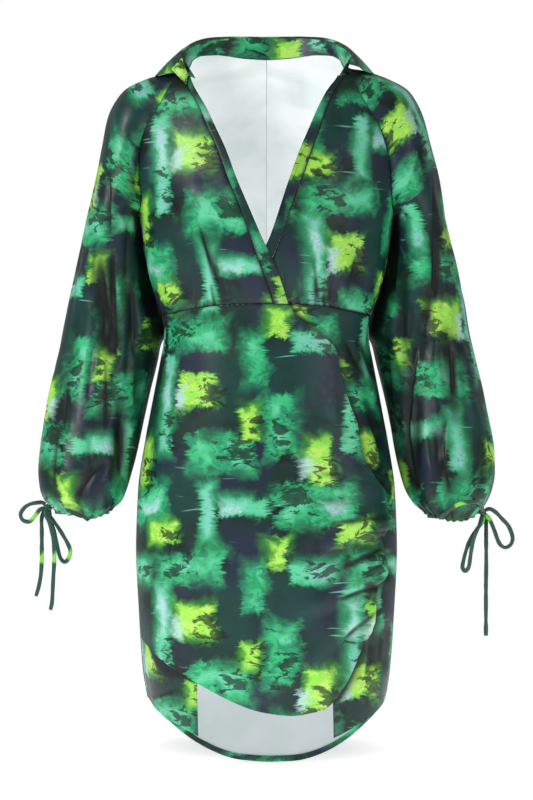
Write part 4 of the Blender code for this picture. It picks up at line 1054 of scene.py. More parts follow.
def skirt_under(side):
    """Under front of the skirt, from its side seam to its free upright edge."""
    right = side > 0
    low = -SEAM_GAP / 2
    side_angle = side_seam(side)
    edge = from_waist(UNDER_RIGHT_EDGE if right else UNDER_LEFT_EDGE, low)
    free = border(edge[::-1])
    first = abs(seen_x(*end_point(free, 0)))
    xs = np.array([first] + [row[0] for row in SHIRT_TAIL_HEM if row[0] > first + 5])
    hem = border(points_of(xs * side, table_column(SHIRT_TAIL_HEM, 3, xs)))
    hem = softened(hem, HEM_ROUNDING["under"])
    corner = np.array([side_angle, end_point(hem, 1)[1]])
    pulls = end_point(free, 0) - end_point(hem, 0), corner - end_point(hem, 1)

    def hem_to_seam(at):
        share = ease(at)[:, None]
        return hem(at) + (1 - share) * pulls[0] + share * pulls[1]

    flat = patch(
        free,
        straight(corner, (side_angle, WAIST_SIDE + low)),
        hem_to_seam,
        waist_border(end_point(free, 1)[0], side_angle, low),
        edges(150, 1.0),
        np.linspace(0, 1, 76 if right else 56),
    )
    angle, z = flat[..., 0], flat[..., 1]
    x = seen_x(angle, z)
    if right:
        out = -troughs(x, z, UNDER_TROUGHS)
        # Painted shade in the troughs, and a painted shadow beside the overlapping skirt's free edge,
        # ruched side and hem, wider and darker low down.
        above = SKIRT_FREE_EDGE + SKIRT_RUCHED_EDGE[1:] + SKIRT_HEM_RIGHT[1:]
        heights, places = zip(*[(z_at, x_at) for x_at, z_at in above[::-1]])
        past_edge = np.maximum(x - smooth(heights, places, z), 0)
        lower = ease((-560 - z) / 60)
        beside = bell(past_edge, 6.5 + 2.5 * lower)
        shade = fold_shade(-out, 3.0, 0.75) + (0.7 + 0.28 * lower) * beside
    else:
        # Painted shadow below the overlapping skirt's hem, reaching as far down as HEM_SHADOW gives,
        # and painted shade in the tuck.
        tuck = np.maximum(troughs(x, z, UNDER_LEFT_TUCK), 0)
        below = smooth(*zip(*SKIRT_HEM_LEFT), x) - z
        reach = smooth(*zip(*HEM_SHADOW), x)
        shade = 0.1 + 0.88 * (1 - ease((below / reach - 0.45) / 0.75)) + 0.45 * tuck
        from_seam = (angle - side_angle) / math.radians(10)
        out = -SEAM_DROP - (UNDER_DROP - SEAM_DROP) * ease(from_seam) - tuck
    below_waist = waist_height(angle) - z
    out = out + roll_in(below_waist)
    shade = shade + seam_shade(below_waist)
    grid, inside = body_cloth("skirt_under_" + side_word(side), flat, out, shade, "hung")
    keep_line(grid, inside, row=0.022)


def back_hem_height(angle):
    """Height of the shirt-tail hem round the back, with its bends rounded off."""
    widest = SHIRT_TAIL_HEM[-1][0]
    x = signed_power(np.sin(angle), 2 / ROUNDNESS) * widest
    room = np.minimum(1.0, (widest - np.abs(x)) / 20)
    total = 0.0
    for step in (-12, -6, 0, 6, 12):
        place = np.abs(np.abs(x) + step * room)
        left, right = (table_column(SHIRT_TAIL_HEM, column, place) for column in (1, 2))
        total = total + np.where(x < 0, left, right)
    return total / 5


def skirt_back():
    """Back skirt with the dipped hem, and the printed turning along the hem's inside."""
    start = side_seam(1, True)
    v = edges(140, 1.0)[:, None]
    angle = np.linspace(start, 2 * math.pi - start, 150)[None, :] + 0.0 * v
    top = waist_height(angle) - SEAM_GAP / 2
    hem = back_hem_height(angle)
    z = hem * (1 - v) + top * v
    x = seen_x(angle, z)
    across = round_the_body(angle, z)
    out = -troughs(np.abs(x), z, BACK_TROUGHS)
    calm = ease((1 - np.abs(angle / math.pi - 1) * 2) / 0.1) * ease((z - hem) / 30.0)
    out = out + soft_creases(x, z, 61, 1.2, 52.0) * calm
    # Painted shade in the troughs and creases, and at the waist seam.
    shade = fold_shade(-out, 5.0, 0.4) + seam_shade(top - z)
    out = out + puckers(across, top - z, 8.0, 7.0, 0.4, 8) + roll_in(top - z)
    flat = points_of(angle, z)
    grid, inside = body_cloth("skirt_back", flat, out, shade, "stretched")
    keep_line(grid, inside, row=0.017)

    part = (slice(TURNING_ROWS), slice(1, -1))
    z = hem[part] + np.linspace(0, TURNING_HEIGHT, TURNING_ROWS)[:, None]
    out = 0.15 * ripple(across[part], z, 62, 22.0) - TURNING_DROP
    strip = points_of(angle[part], z)
    body_cloth("hem_turning_back", strip, out, 0.0, "folded", wall=TURNING_WALL, one_face=True)


def sleeve_fold(angle, z, rows):
    """Depth of the long folds of a sleeve at ring angles in degrees."""
    depth = 0.0 * angle
    for top_angle, top_z, low_angle, low_z, deep, half_width in rows:
        t = (top_z - z) / (top_z - low_z)
        centre = top_angle + (low_angle - top_angle) * np.clip(t, 0, 1)
        fade = fade_ends(t, 0.3)
        beside = bell(angle - centre - 1.8 * half_width, 0.9 * half_width)
        depth = depth + deep * fade * (bell(angle - centre, half_width) - 0.28 * beside)
    return depth


def sleeve_creases(outwards, z, rows):
    """Strength of the crisp creases at points seen from the front, for their depth and their painted
    shade.
    """
    total = 0.0 * z
    for way, strength, width, points in rows:
        line = smooth(*zip(*sorted(points)), z)
        low, high = points[-1][0], points[0][0]
        fade = ease((high - z) / 26.0) * ease((z - low) / 26.0)
        across = (outwards - line) * (way or 1)
        lit_side = 1.3 if way else width
        near = np.where(across < 0, across / lit_side, across / width)
        total = np.maximum(total, strength * fade * np.exp(-np.abs(near) ** 1.6))
    return total


def ring(centre, outwards, forwards, angle):
    """Points of one sleeve ring; angle 0 is the outer side and +90 degrees the front."""
    return centre + outwards * np.cos(angle)[:, None] + forwards * np.sin(angle)[:, None]


def sleeve_cap(side, shares):
    """Rows of the sleeve's raglan cap from the neck down to the underarm.

    shares place the columns from the front seam (1) over the top (0) to the back seam (-1).
    """
    mirror = np.array([side, 1.0, 1.0])
    front = raglan_border(side, False, SEAM_GAP)
    back = raglan_border(side, True, SEAM_GAP, CREASE_GAP)

    def ends_and_span(place):
        """Both ends of a cap row, and half the angle that it spans."""
        edges = front(np.array([place])), back(np.array([place]))
        start, end = (body_point(e[:, 0], e[:, 1], np.zeros(1))[0] for e in edges)
        width = np.linalg.norm(start - end)
        half_depth = table_column(CAP_DEPTHS, 1, max(place, 0.5))
        span = math.pi - math.asin(min(1.0, width / (2 * half_depth)))
        return start, end, span

    middle_span = ends_and_span(0.5)[2]
    rows = []
    for place in np.linspace(0, CAP_END, CAP_ROWS):
        start, end, span = ends_and_span(place)
        if place < 0.5:
            share = float(ease(place / 0.5))
            span = math.radians(NECK_SPAN) * (1 - share) + middle_span * share
        ridge = along(SHOULDER_RIDGE, np.array([place]))[0] * mirror
        outwards = (ridge - (start + end) / 2) / (1 - math.cos(span))
        forwards = (start - end) / (2 * math.sin(span))
        rows.append(ring(ridge - outwards, outwards, forwards, span * shares))
    return np.stack(rows)


def sleeve_ring(z, side, angle):
    """One ring of the sleeve below the underarm, with its folds and gathers, and the painted shade of
    each point.
    """
    end = side_word(side)
    table = SLEEVE[end]
    degrees = np.degrees(angle)
    sizes = [table_column(table, column, z) for column in range(1, 6)]
    inner, outer, half_depth, middle_y, lean = sizes
    fold = sleeve_fold(degrees, z, SLEEVE_FOLDS[end])
    reach = z - table[-1][0]
    gathered = float(ease(1 - reach / GATHER_RUN))
    uneven = angle + 0.10 * np.sin(3 * angle + 1.0) + 0.05 * np.sin(7 * angle)
    gather = GATHER_HEIGHT * gathered * (np.cos(uneven * CUFF_GATHERS) - 1) / 2
    fine = 0.8 * float(ease(1 - reach / 24.0)) * np.cos(uneven * 2 * CUFF_GATHERS + 1.0)
    inner_side = 1 - 0.9 * bell(np.abs(degrees) - 180, 20)
    depth = gather + fine - fold * inner_side
    leaning = lean * np.sin(angle) * (1 - np.cos(angle)) / 2
    tucked = float(ease((table[0][0] - z) / 9) * ease((z + 268) / 40))
    leaning = leaning - 3.4 * tucked * bell(degrees + 160, 24)
    x = side * ((inner + outer) / 2 + ((outer - inner) / 2 + depth) * np.cos(angle) + leaning)
    y = middle_y - (half_depth + depth) * np.sin(angle)
    # Painted shade on the inner side that hangs beside the body, in the folds and in the cuff's
    # gathers.
    shade_beside_body = ease((np.abs(degrees) - 136) / 16) * float(ease((z + 350) / 26))
    shade = fold_shade(fold * inner_side, 5.0, 0.7) + 0.92 * shade_beside_body
    shade = shade + 0.35 * gathered * (1 - np.cos(uneven * CUFF_GATHERS)) / 2
    return points_of(x, y, z, shade)


def turned_foot(low_ring, seam_height):
    """Rows that turn in under the sleeve's lowest ring and run up to the casing's seam."""
    inwards = unit((low_ring[:-1].mean(axis=0) - low_ring) * LEVEL)
    rows = [
        low_ring + BAG_TURN * ((1 - math.cos(turn)) * inwards - math.sin(turn) * UP)
        for turn in np.linspace(0, math.pi, 10)[1:]
    ]
    seam = rows[-1] * LEVEL + seam_height * UP
    return np.stack(rows + [rows[-1] + (seam - rows[-1]) * share for share in (0.3, 0.65, 1.0)])


def sleeve(side):
    """Raglan sleeve, hung from its cap down to the drawstring casing at its cuff."""
    end = side_word(side)
    middle, back_columns = SLEEVE_COLUMNS
    shares = [np.linspace(1, 0, middle + 1), np.linspace(0, -1, back_columns + 1)[1:]]
    shares = np.concatenate(shares)
    angle = math.pi * shares
    wide = np.abs(shares)[None, :]
    top, bottom = SLEEVE[end][0][0], SLEEVE[end][-1][0]
    levels = np.linspace(top, bottom, SLEEVE_ROWS)
    rings = np.stack([sleeve_ring(z, side, angle) for z in levels])
    hang = smooth(*zip(*CUFF_BAG[end]), side * rings[-1, :, 0]) * (0.8 + 0.2 * np.sin(angle))
    hang = hang + 0.9 * np.cos(22 * angle + 1.3 * np.sin(3 * angle + side))
    rings[..., 2] -= hang * ease((bottom + 45 - rings[..., 2]) / 45)
    seam_height = bottom + CASING_TOP[end]
    foot = turned_foot(rings[-1, :, :3], seam_height)
    grid = np.concatenate([sleeve_cap(side, shares), rings[..., :3], foot])
    # Painted shade: dark where the cap's low seams meet the body and at its edges, and rising under the
    # casing's turned foot.
    low_cap = ease((np.linspace(0, 1, CAP_ROWS)[:, None] - 0.86) / 0.14)
    cap_shade = 0.92 * ease((wide - 0.76) / 0.09) * low_cap + seam_shade((1 - wide) * 120.0, 0.5)
    cap_shade[:, [0, -1]] = 1.0
    foot_shade = np.linspace(0.2, 0.9, len(foot))[:, None] + 0 * wide
    shade = np.concatenate([cap_shade, rings[..., 3], foot_shade])
    down = path_lengths(grid[:, middle])[:, None]
    round_it = path_lengths(grid.swapaxes(0, 1)).T
    round_it = round_it - round_it[:, [middle]]
    centre = np.array(SLEEVE_MIDDLE) * (side, 1.0, 1.0)
    away = outward_normals(grid, centre)
    t = np.linspace(0, 1, len(grid))[:, None]
    calm = ease((1 - wide) / 0.12) * ease(t / 0.05) * ease((0.92 - t) / 0.06)
    relief = soft_creases(round_it, down, 71 if side < 0 else 72, 1.5, 36.0, 3.2) * calm
    crease = sleeve_creases(side * grid[..., 0], grid[..., 2], SLEEVE_CREASES[end])
    crease = crease * ease(shares[None, :] / 0.08) * ease((1 - wide) / 0.05)
    # Painted shade in the relief's folds and the crisp creases, and a painted shadow of the collar down
    # the cap.
    shade = shade + fold_shade(-relief, 2.5, 0.35) + 1.15 * crease
    shade = shade + 0.95 * ease(1 - down / CAP_SHADOW)
    grid = grid + away * (relief - 3.4 * crease)[..., None]
    place = points_of(side * -round_it, -down)
    name = "sleeve_" + end
    declare(cloth(name, grid, place, centre, shade), name)
    cuff_casing("cuff_casing_" + end, grid[-1] * LEVEL + seam_height * UP, place[-1])


def cuff_casing(name, top_ring, top_place):
    """Drawstring casing that hangs from the sleeve's last ring."""
    centre = top_ring[:-1].mean(axis=0)
    drops = np.linspace(SEAM_GAP, CASING_HEIGHT, CASING_ROWS)[:, None, None]
    swell = 0.9 * np.sin(np.linspace(0, math.pi, CASING_ROWS))[:, None, None]
    casing = top_ring - drops * UP + swell * unit((top_ring - centre) * LEVEL)
    place = top_place - drops * (0.0, 1.0)
    # Painted shade over the whole casing, darker at its seam under the sleeve's bag.
    shade = 0.45 + seam_shade(drops[..., 0], 0.5)
    declare(cloth(name, casing, place, centre, shade), name)
    for row in (0.12, 0.88):
        keep_line(casing, centre, row=row)


def collar_line(left, right, first_column):
    """Points of one collar line from the left front end round the back to the right end."""
    at = np.linspace(-1, 1, COLLAR_COLUMNS)
    key = 1 - np.abs(at)
    columns = range(first_column, first_column + 3)
    x, y, z = [
        np.where(at < 0, table_column(left, column, key), table_column(right, column, key))
        for column in columns
    ]
    return points_of(np.sign(at) * x, y, z)


def between(rows, count):
    """Smooth rows through a few rows of points."""
    rows = np.stack(rows)
    keys = np.linspace(0, 1, len(rows))
    at = np.linspace(0, 1, count)
    flat = [smooth(keys, column, at) for column in rows.reshape(len(rows), -1).T]
    return np.stack(flat, axis=-1).reshape(count, *rows.shape[1:])


def collar():
    """Stand that rises from the neck seam, and the leaf that folds down over it."""
    seam = collar_line(COLLAR, COLLAR, 1)
    roll = collar_line(COLLAR, COLLAR, 4)
    leaf = collar_line(COLLAR_LEAF["left"], COLLAR_LEAF["right"], 1)
    rise = unit(roll - seam)
    round_it = path_lengths(roll)
    round_it -= round_it[-1] / 2
    key = 1 - np.abs(np.linspace(-1, 1, COLLAR_COLUMNS))
    depth, reach = COLLAR_TUCK
    tuck = depth * ease((reach - key) / reach)[:, None]
    foot = seam + rise * (0.4 - tuck) + np.array([0.0, 0.5, 0.0]) * tuck
    stand = between([foot, (seam + roll) / 2, roll - rise * ROLL_GAP], 18)
    place = points_of(round_it, stand[..., 2])
    made = cloth("collar_stand", stand, place, COLLAR_MIDDLE, one_face=True)
    declare(made, "collar_stand")

    outwards = unit((roll - COLLAR_MIDDLE) * LEVEL)
    swell_out, swell_up = (table_column(COLLAR, column, key)[:, None] for column in (7, 8))
    shoulder = roll + outwards * swell_out + UP * swell_up
    lip = roll + rise * 0.8
    drop = leaf - shoulder
    rows = [lip, (lip + shoulder) / 2 + 0.5 * UP, shoulder]
    rows += [shoulder + drop * share + outwards * swell for share, swell in COLLAR_SWELL]
    fall = between(rows, 30)
    wave = 0.5 * ripple(round_it, 0 * round_it, 81, 40.0)[:, None]
    fall = fall + outwards * wave * ease(np.linspace(0, 1, 30) / 0.6)[:, None, None]
    down = path_lengths(fall)
    place = points_of(round_it, -down)
    made = cloth("collar_fall", fall, place, COLLAR_MIDDLE, one_face=True)
    add_flap(made)
    declare(made, "collar_fall")
    keep_line(fall, COLLAR_MIDDLE, row=0.90)
    keep_line(stand, COLLAR_MIDDLE, row=0.93)


def add_flap(leaf):
    """Joins the left leaf's front corner, which turns forward over the bodice, to the leaf."""
    v = np.linspace(0, 1, 22)[:, None, None]
    u = np.linspace(0, 1, 20)[None, :, None]
    first, second, third, last = (np.array(corner, float) for corner in COLLAR_FLAP)
    grid = (1 - v) * ((1 - u) * first + u * second) + v * ((1 - u) * last + u * third)
    swell = 1.6 * np.sin(math.pi * u) * np.sin(math.pi * v)
    grid = grid - swell * np.array([0.0, 1.0, 0.0])
    rim = np.minimum(np.minimum(u, 1 - u), np.minimum(v, 1 - v))[..., 0]
    shade = 0.35 * bell(rim - 0.10, 0.03)
    place = grid[..., [0, 2]]
    flap = cloth("collar_flap", grid, place, (-90.0, 60.0, 0.0), shade, one_face=True)
    with bpy.context.temp_override(
        active_object=leaf, object=leaf, selected_editable_objects=[leaf, flap]
    ):
        bpy.ops.object.join()


class Tree:
    """Short way to add and join shader nodes."""

    def __init__(self, tree):
        self.tree = tree

    def add(self, kind, *values, out=0, **settings):
        node = self.tree.nodes.new("ShaderNode" + kind)
        for key, value in settings.items():
            setattr(node, key, value)
        for number, value in enumerate(values):
            self.set(node.inputs[number], value)
        return node.outputs[out]

    def set(self, socket, value):
        if value is None:
            return
        if isinstance(value, bpy.types.NodeSocket):
            self.tree.links.new(value, socket)
        else:
            socket.default_value = value

    def fill(self, node, values):
        """Sets or joins the node's inputs of the given names."""
        for name, value in values.items():
            self.set(node.inputs[name], value)

    def math(self, operation, *values):
        return self.add("Math", *values, operation=operation)

    def times(self, first, second):
        return self.math("MULTIPLY", first, second)

    def minus(self, first, second):
        return self.math("SUBTRACT", first, second)

    def vector(self, operation, *values):
        return self.add("VectorMath", *values, operation=operation)

    def scaled(self, vector, scale):
        return self.vector("SCALE", vector, None, None, scale)

    def stretched(self, vector, across, up):
        return self.vector("MULTIPLY", vector, (across, up, 0.0))

    def split(self, vector):
        """Outputs that give the vector's three parts."""
        return self.add("SeparateXYZ", vector).node.outputs

    def print_place(self):
        """Place on the flat cloth in millimetres."""
        return self.scaled(self.add("UVMap", uv_map="Print"), 1 / MM)

    def soft(self, value, low, high):
        """0 under low, 1 over high, with a soft step between."""
        return self.add("MapRange", value, low, high, interpolation_type="SMOOTHSTEP")

    def noise(self, vector, scale, detail=2.0, rough=0.5, distortion=0.0, out=0):
        noise = self.add("TexNoise", vector, out=out, noise_dimensions="2D")
        values = {"Scale": scale, "Detail": detail, "Roughness": rough, "Distortion": distortion}
        self.fill(noise.node, values)
        return noise

    def mix(self, share, first, second):
        """Colour between two, the second where share is 1."""
        unused = [None] * 5
        return self.add("Mix", share, *unused, first, second, out=2, data_type="RGBA")


def linear(code):
    """Colour from its six-figure code, as light values with full cover."""
    values = [int(code[i:i + 2], 16) / 255 for i in (0, 2, 4)]
    values = [v / 12.92 if v <= 0.04045 else ((v + 0.055) / 1.055) ** 2.4 for v in values]
    return (*values, 1.0)


def material(name, paint):
    """The named material; the first call makes it and paints it."""
    made = bpy.data.materials.get(name)
    if made is None:
        made = bpy.data.materials.new(name)
        made.use_nodes = True
        paint(Tree(made.node_tree), made.node_tree.nodes["Principled BSDF"])
    return made


def block_distance(tree, place, blocks):
    """How deep a place lies inside the nearest of the print's blocks, in millimetres."""
    settings = bpy.context.scene.wrap_dress_print
    half_tile = (settings.repeat_across / MM / 2, settings.repeat_up / MM / 2, 0.0)
    deepest = None
    for x, y, half_x, half_y in blocks:
        away = tree.vector("SUBTRACT", place, (x, y, 0.0))
        away = tree.vector("WRAP", away, half_tile, tuple(-value for value in half_tile))
        away = tree.vector("ABSOLUTE", away)
        room = tree.split(tree.vector("SUBTRACT", (half_x, half_y, 0.0), away))
        depth = tree.math("MINIMUM", room[0], room[1])
        deepest = depth if deepest is None else tree.math("MAXIMUM", deepest, depth)
    return deepest


def print_colour(tree):
    """Colour of the blurred block print at the piece's own print place."""
    settings = bpy.context.scene.wrap_dress_print
    place = tree.print_place()
    warp = tree.vector("SUBTRACT", tree.noise(place, 0.013, 1.0, 0.5, out=1), (0.5, 0.5, 0.5))
    wide = tree.vector("MULTIPLY_ADD", warp, (18.0, 15.0, 0.0), place)
    strokes = tree.noise(tree.stretched(wide, 0.035, 0.26), 1.0, 3.0, 0.6)
    fringe = tree.noise(tree.stretched(wide, 0.20, 0.05), 1.0, 3.0, 0.6)
    rough = tree.vector("SUBTRACT", tree.add("CombineXYZ", strokes, fringe, 0.0), (0.5, 0.5, 0.0))
    rough = tree.stretched(rough, 1.0, 0.42)
    wild = tree.noise(place, 0.016, 1.0, 0.5)
    reach = tree.add("MapRange", wild, 0.44, 0.62, 2.0, 24.0)
    blur = tree.add("MapRange", wild, 0.44, 0.60, 16.0, 4.0)
    sharp = tree.times(blur, -1.0)
    torn = tree.vector("ADD", tree.scaled(rough, reach), wide)
    blotch = tree.noise(torn, 0.05, 3.0, 0.6, 0.4)
    marble = tree.noise(tree.stretched(torn, 0.06, 0.09), 1.0, 4.0, 0.6, 1.0)
    cloud = tree.noise(place, 0.010, 1.0, 0.5)
    drift = tree.noise(wide, 0.022, 2.0, 0.5)
    uneven = tree.minus(blotch, 0.5)

    def blocks(rows, spread):
        return tree.math("MULTIPLY_ADD", uneven, spread, block_distance(tree, torn, rows))

    ground = tree.mix(tree.soft(cloud, 0.42, 0.58), settings.slate, settings.dark_green)
    ground = tree.mix(tree.soft(drift, 0.52, 0.76), ground, settings.ink)
    shade = block_distance(tree, wide, DEEP_BLOCKS)
    shade = tree.times(tree.soft(shade, -18.0, 14.0), 0.75)
    ground = tree.mix(shade, ground, settings.deep_teal)
    leaf = blocks(LEAF_BLOCKS, 24.0)
    leafy = tree.mix(tree.soft(marble, 0.38, 0.60), settings.teal, settings.emerald)
    minted = tree.times(tree.soft(drift, 0.46, 0.60), tree.soft(leaf, 2.0, 18.0))
    leafy = tree.mix(minted, leafy, settings.mint)
    colour = tree.mix(tree.soft(leaf, sharp, blur), ground, leafy)
    mint = blocks(MINT_BLOCKS, 16.0)
    minty = tree.mix(tree.soft(drift, 0.40, 0.60), settings.mint, settings.aqua)
    minty = tree.mix(tree.soft(mint, -3.0, 8.0), settings.emerald, minty)
    colour = tree.mix(tree.soft(mint, sharp, tree.times(blur, 0.8)), colour, minty)
    lime = blocks(LIME_BLOCKS, 24.0)
    limy = tree.mix(tree.soft(marble, 0.42, 0.62), settings.lime, settings.yellow_lime)
    limy = tree.mix(tree.soft(lime, -4.0, 7.0), settings.grass, limy)
    colour = tree.mix(tree.soft(lime, sharp, tree.times(blur, 0.6)), colour, limy)
    pale = tree.soft(blocks(PALE_BLOCKS, 26.0), -4.0, 10.0)
    colour = tree.mix(tree.times(pale, 0.75), colour, settings.lavender)

    flow = tree.noise(tree.stretched(torn, 0.045, 0.10), 1.0, 4.0, 0.62, 0.6)
    stain = block_distance(tree, wide, INK_BLOCKS)
    stain = tree.math("MULTIPLY_ADD", tree.minus(flow, 0.5), 90.0, stain)
    vein = tree.math("ABSOLUTE", tree.minus(marble, 0.5))
    vein = tree.minus(1.0, tree.soft(vein, 0.003, 0.020))
    vein = tree.times(vein, tree.times(tree.soft(blotch, 0.50, 0.60), 0.45))
    ink = tree.math("MAXIMUM", vein, tree.times(tree.soft(stain, 0.0, 7.0), 0.85))
    colour = tree.mix(ink, colour, settings.ink)
    scratch = tree.noise(tree.stretched(wide, 0.016, 0.20), 1.0, 1.0, 0.4)
    scratch = tree.times(tree.soft(scratch, 0.76, 0.82), tree.soft(mint, -34.0, -8.0))
    return tree.mix(tree.times(scratch, 0.6), colour, settings.aqua)


def weave_bump(tree, place, threads, depth):
    """Normal of a surface with a fine crepe grain."""
    grain = tree.noise(place, threads, 2.0, 0.7)
    drift = tree.noise(place, threads * 0.08, 2.0, 0.5)
    height = tree.math("MULTIPLY_ADD", drift, 0.6, grain)
    normal = tree.add("Bump")
    tree.fill(normal.node, {"Strength": 0.35, "Distance": depth, "Height": height})
    return normal


def printed_cloth(tree, shader):
    """Satin-faced crepe with the blurred block print, darkened by each piece's painted shade."""
    settings = bpy.context.scene.wrap_dress_cloth
    # Painted shade: the piece's Shade attribute, eased, mixes the print towards a near-black colour in
    # folds, creases, seams and shadows.
    light_left = tree.minus(1.0, tree.add("Attribute", attribute_name="Shade", out=2))
    shade = tree.minus(1.0, tree.math("POWER", light_left, 1.6))
    place = tree.print_place()
    gloss = tree.noise(place, 0.11, 3.0, 0.6)
    low, high = settings.roughness - 0.05, settings.roughness + 0.06
    values = {
        "Base Color": tree.mix(shade, print_colour(tree), PAINTED_SHADE_COLOUR),
        "Roughness": tree.add("MapRange", gloss, 0.3, 0.7, low, high),
        "Sheen Weight": settings.sheen,
        "Sheen Roughness": 0.4,
        "Specular IOR Level": 0.34,
        "Normal": weave_bump(tree, place, 1.9, 0.00012),
    }
    tree.fill(shader, values)


def cloth_reverse(tree, shader):
    """Unprinted reverse of the same cloth, pale with a soft show-through mottling, a painted glow for
    light through the thin cloth and painted shade low inside the skirt's hem.
    """
    settings = bpy.context.scene.wrap_dress_cloth
    place = tree.print_place()
    cloud = tree.soft(tree.noise(place, 0.017, 3.0, 0.5), 0.35, 0.65)
    colour = tree.mix(cloud, settings.reverse, settings.reverse_shade)
    # Painted shade: the reverse is darker low down inside the skirt's hem.
    height = tree.split(tree.add("TexCoord", out=3))[2]
    share = tree.add("MapRange", height, *HEM_SHADE_HEIGHTS, 0.25, 1.0)
    colour = tree.mix(share, settings.reverse_in_shade, colour)
    fuzz = tree.noise(place, 0.4, 2.0, 0.5)
    values = {
        "Base Color": colour,
        "Roughness": tree.add("MapRange", fuzz, 0.3, 0.7, 0.62, 0.74),
        "Sheen Weight": 0.15,
        # Painted glow: the reverse gives off light of its own colour, in place of light through the
        # thin cloth.
        "Emission Color": colour,
        "Emission Strength": settings.painted_glow,
        "Normal": weave_bump(tree, place, 1.9, 0.0001),
    }
    tree.fill(shader, values)


def tie_material(tree, shader):
    """Satin of the narrow ties, cut from the same print."""
    settings = bpy.context.scene.wrap_dress_ties
    place = tree.print_place()
    streak = tree.noise(tree.stretched(place, 0.02, 1.0), 0.035, 2.0, 0.6)
    colour = tree.mix(tree.soft(streak, 0.64, 0.72), settings.ground, settings.mint)
    lime = tree.noise(tree.vector("ADD", place, (300.0, 170.0, 0.0)), 0.021, 2.0, 0.6)
    wear = tree.noise(place, 0.5, 2.0, 0.5)
    values = {
        "Base Color": tree.mix(tree.soft(lime, 0.74, 0.82), colour, settings.lime),
        "Roughness": tree.add("MapRange", wear, 0.3, 0.7, 0.36, 0.48),
        "Sheen Weight": 0.2,
        "Normal": weave_bump(tree, place, 2.2, 0.0001),
    }
    tree.fill(shader, values)


def darker(colour, share):
    """The colour at a share of its light."""
    return (*(value * share for value in colour[:3]), 1.0)


def thread_material(tree, shader):
    """Sewing thread, a little lighter than the ground of the print."""
    colour = bpy.context.scene.wrap_dress_stitches.thread
    place = tree.scaled(tree.add("TexCoord", out=3), 1 / MM)
    twist = tree.add("TexWave", place, 1.6, 0.4, 1.0, out=1)
    colour = tree.mix(twist, colour, darker(colour, 0.55))
    tree.fill(shader, {"Base Color": colour, "Roughness": 0.5})


def floor_material(tree, shader):
    """Matt pale paper of the floor and the backdrop, with a painted shadow of lower glow under and
    behind the dress.
    """
    settings = bpy.context.scene.wrap_dress_stage
    place = tree.add("TexCoord", out=3)
    grain = tree.noise(place, 3.0, 3.0, 0.5)
    # Painted shadow: the glow is lower inside an ellipse under and behind the dress.
    flat = tree.vector("MULTIPLY_ADD", place, SHADOW_SCALE, SHADOW_SHIFT)
    away = tree.add("VectorMath", flat, operation="LENGTH", out=1)
    glow = tree.add(
        "MapRange", away, *SHADOW_FADE, settings.glow, settings.far_glow,
        interpolation_type="SMOOTHSTEP",
    )
    values = {
        "Base Color": tree.mix(grain, darker(settings.floor, 0.985), settings.floor),
        "Roughness": 0.9,
        "Specular IOR Level": 0.1,
        "Emission Color": (1.0, 1.0, 1.0, 1.0),
        "Emission Strength": glow,
    }
    tree.fill(shader, values)


def cord_path(route, knot_place, closed):
    """Smooth close points in millimetres along one free cord of a bow."""
    start = [(0.0, 0.0, 0.0)]
    points = np.array(start + list(route) + (start if closed else []), float)
    count = max(12, round(path_lengths(points)[-1] / TIE_POINT_STEP) + 1)
    path = along(points, np.linspace(0, 1, count))
    for _ in range(2):
        path[1:-1] = (path[:-2] + 2 * path[1:-1] + path[2:]) / 4
    off = np.linalg.norm(path, axis=1) >= KNOT_SEAT
    path = path[np.argmax(off):len(off) - np.argmax(off[::-1])]
    first, last = unit(path[[0, -1]]) * KNOT_SEAT
    path = np.concatenate([[first], path] + ([[last]] if closed else []))
    step = np.linalg.norm(np.diff(path, axis=0), axis=1)
    path = path[np.concatenate([[True], step > 0.2])]
    return path + np.asarray(knot_place, float)


def satin_piece(name, form):
    """Finished piece of a bow, made of the faces of the form."""
    bmesh.ops.recalc_face_normals(form, faces=form.faces)
    mesh = bpy.data.meshes.new(name)
    form.to_mesh(mesh)
    form.free()
    mesh.materials.append(material("Tie satin", tie_material))
    mesh.shade_smooth()
    made = in_scene(name + "_satin", mesh)
    stands_for(made, name)
    return made


def tie(name, path):
    """One flat free cord: a narrow tube of cloth pressed flat, seen face on from the front."""
    settings = bpy.context.scene.wrap_dress_ties
    half_width = settings.width / MM / 2
    half_thick = settings.thickness / MM / 2
    way = unit(np.gradient(path, axis=0))
    wide = unit(np.cross(way, [0.0, 1.0, 0.0]))
    thick = np.cross(wide, way)
    length = path_lengths(path)
    angle = np.linspace(0, 2 * math.pi, TIE_SIDES + 1)[:-1]
    across = signed_power(np.cos(angle), 0.75)[None, :, None] * half_width
    through = signed_power(np.sin(angle), 0.8)[None, :, None] * half_thick
    breadth = 1 + 0.07 * ripple(length, 0 * length, len(name), 17.0)
    breadth = breadth * (ease((length[-1] - length) / 2.0) * 0.25 + 0.75)
    wide = wide * breadth[:, None]
    grid = path[:, None] + wide[:, None] * across + thick[:, None] * through
    form = bmesh.new()
    place = form.loops.layers.uv.new("Print")
    shift = 61.0 * len(name)
    rings = [[form.verts.new(point * MM) for point in row] for row in grid]
    for i, (row, after) in enumerate(zip(rings, rings[1:])):
        for j in range(TIE_SIDES):
            k = (j + 1) % TIE_SIDES
            face = form.faces.new((row[j], row[k], after[k], after[j]))
            spots = ((j, i), (j + 1, i), (j + 1, i + 1), (j, i + 1))
            for loop, (side, number) in zip(face.loops, spots):
                loop[place].uv = (side * 1.1 * MM, (length[number] + shift) * MM)
    for row in (rings[0][::-1], rings[-1]):
        form.faces.new(row)
    return satin_piece(name, form)


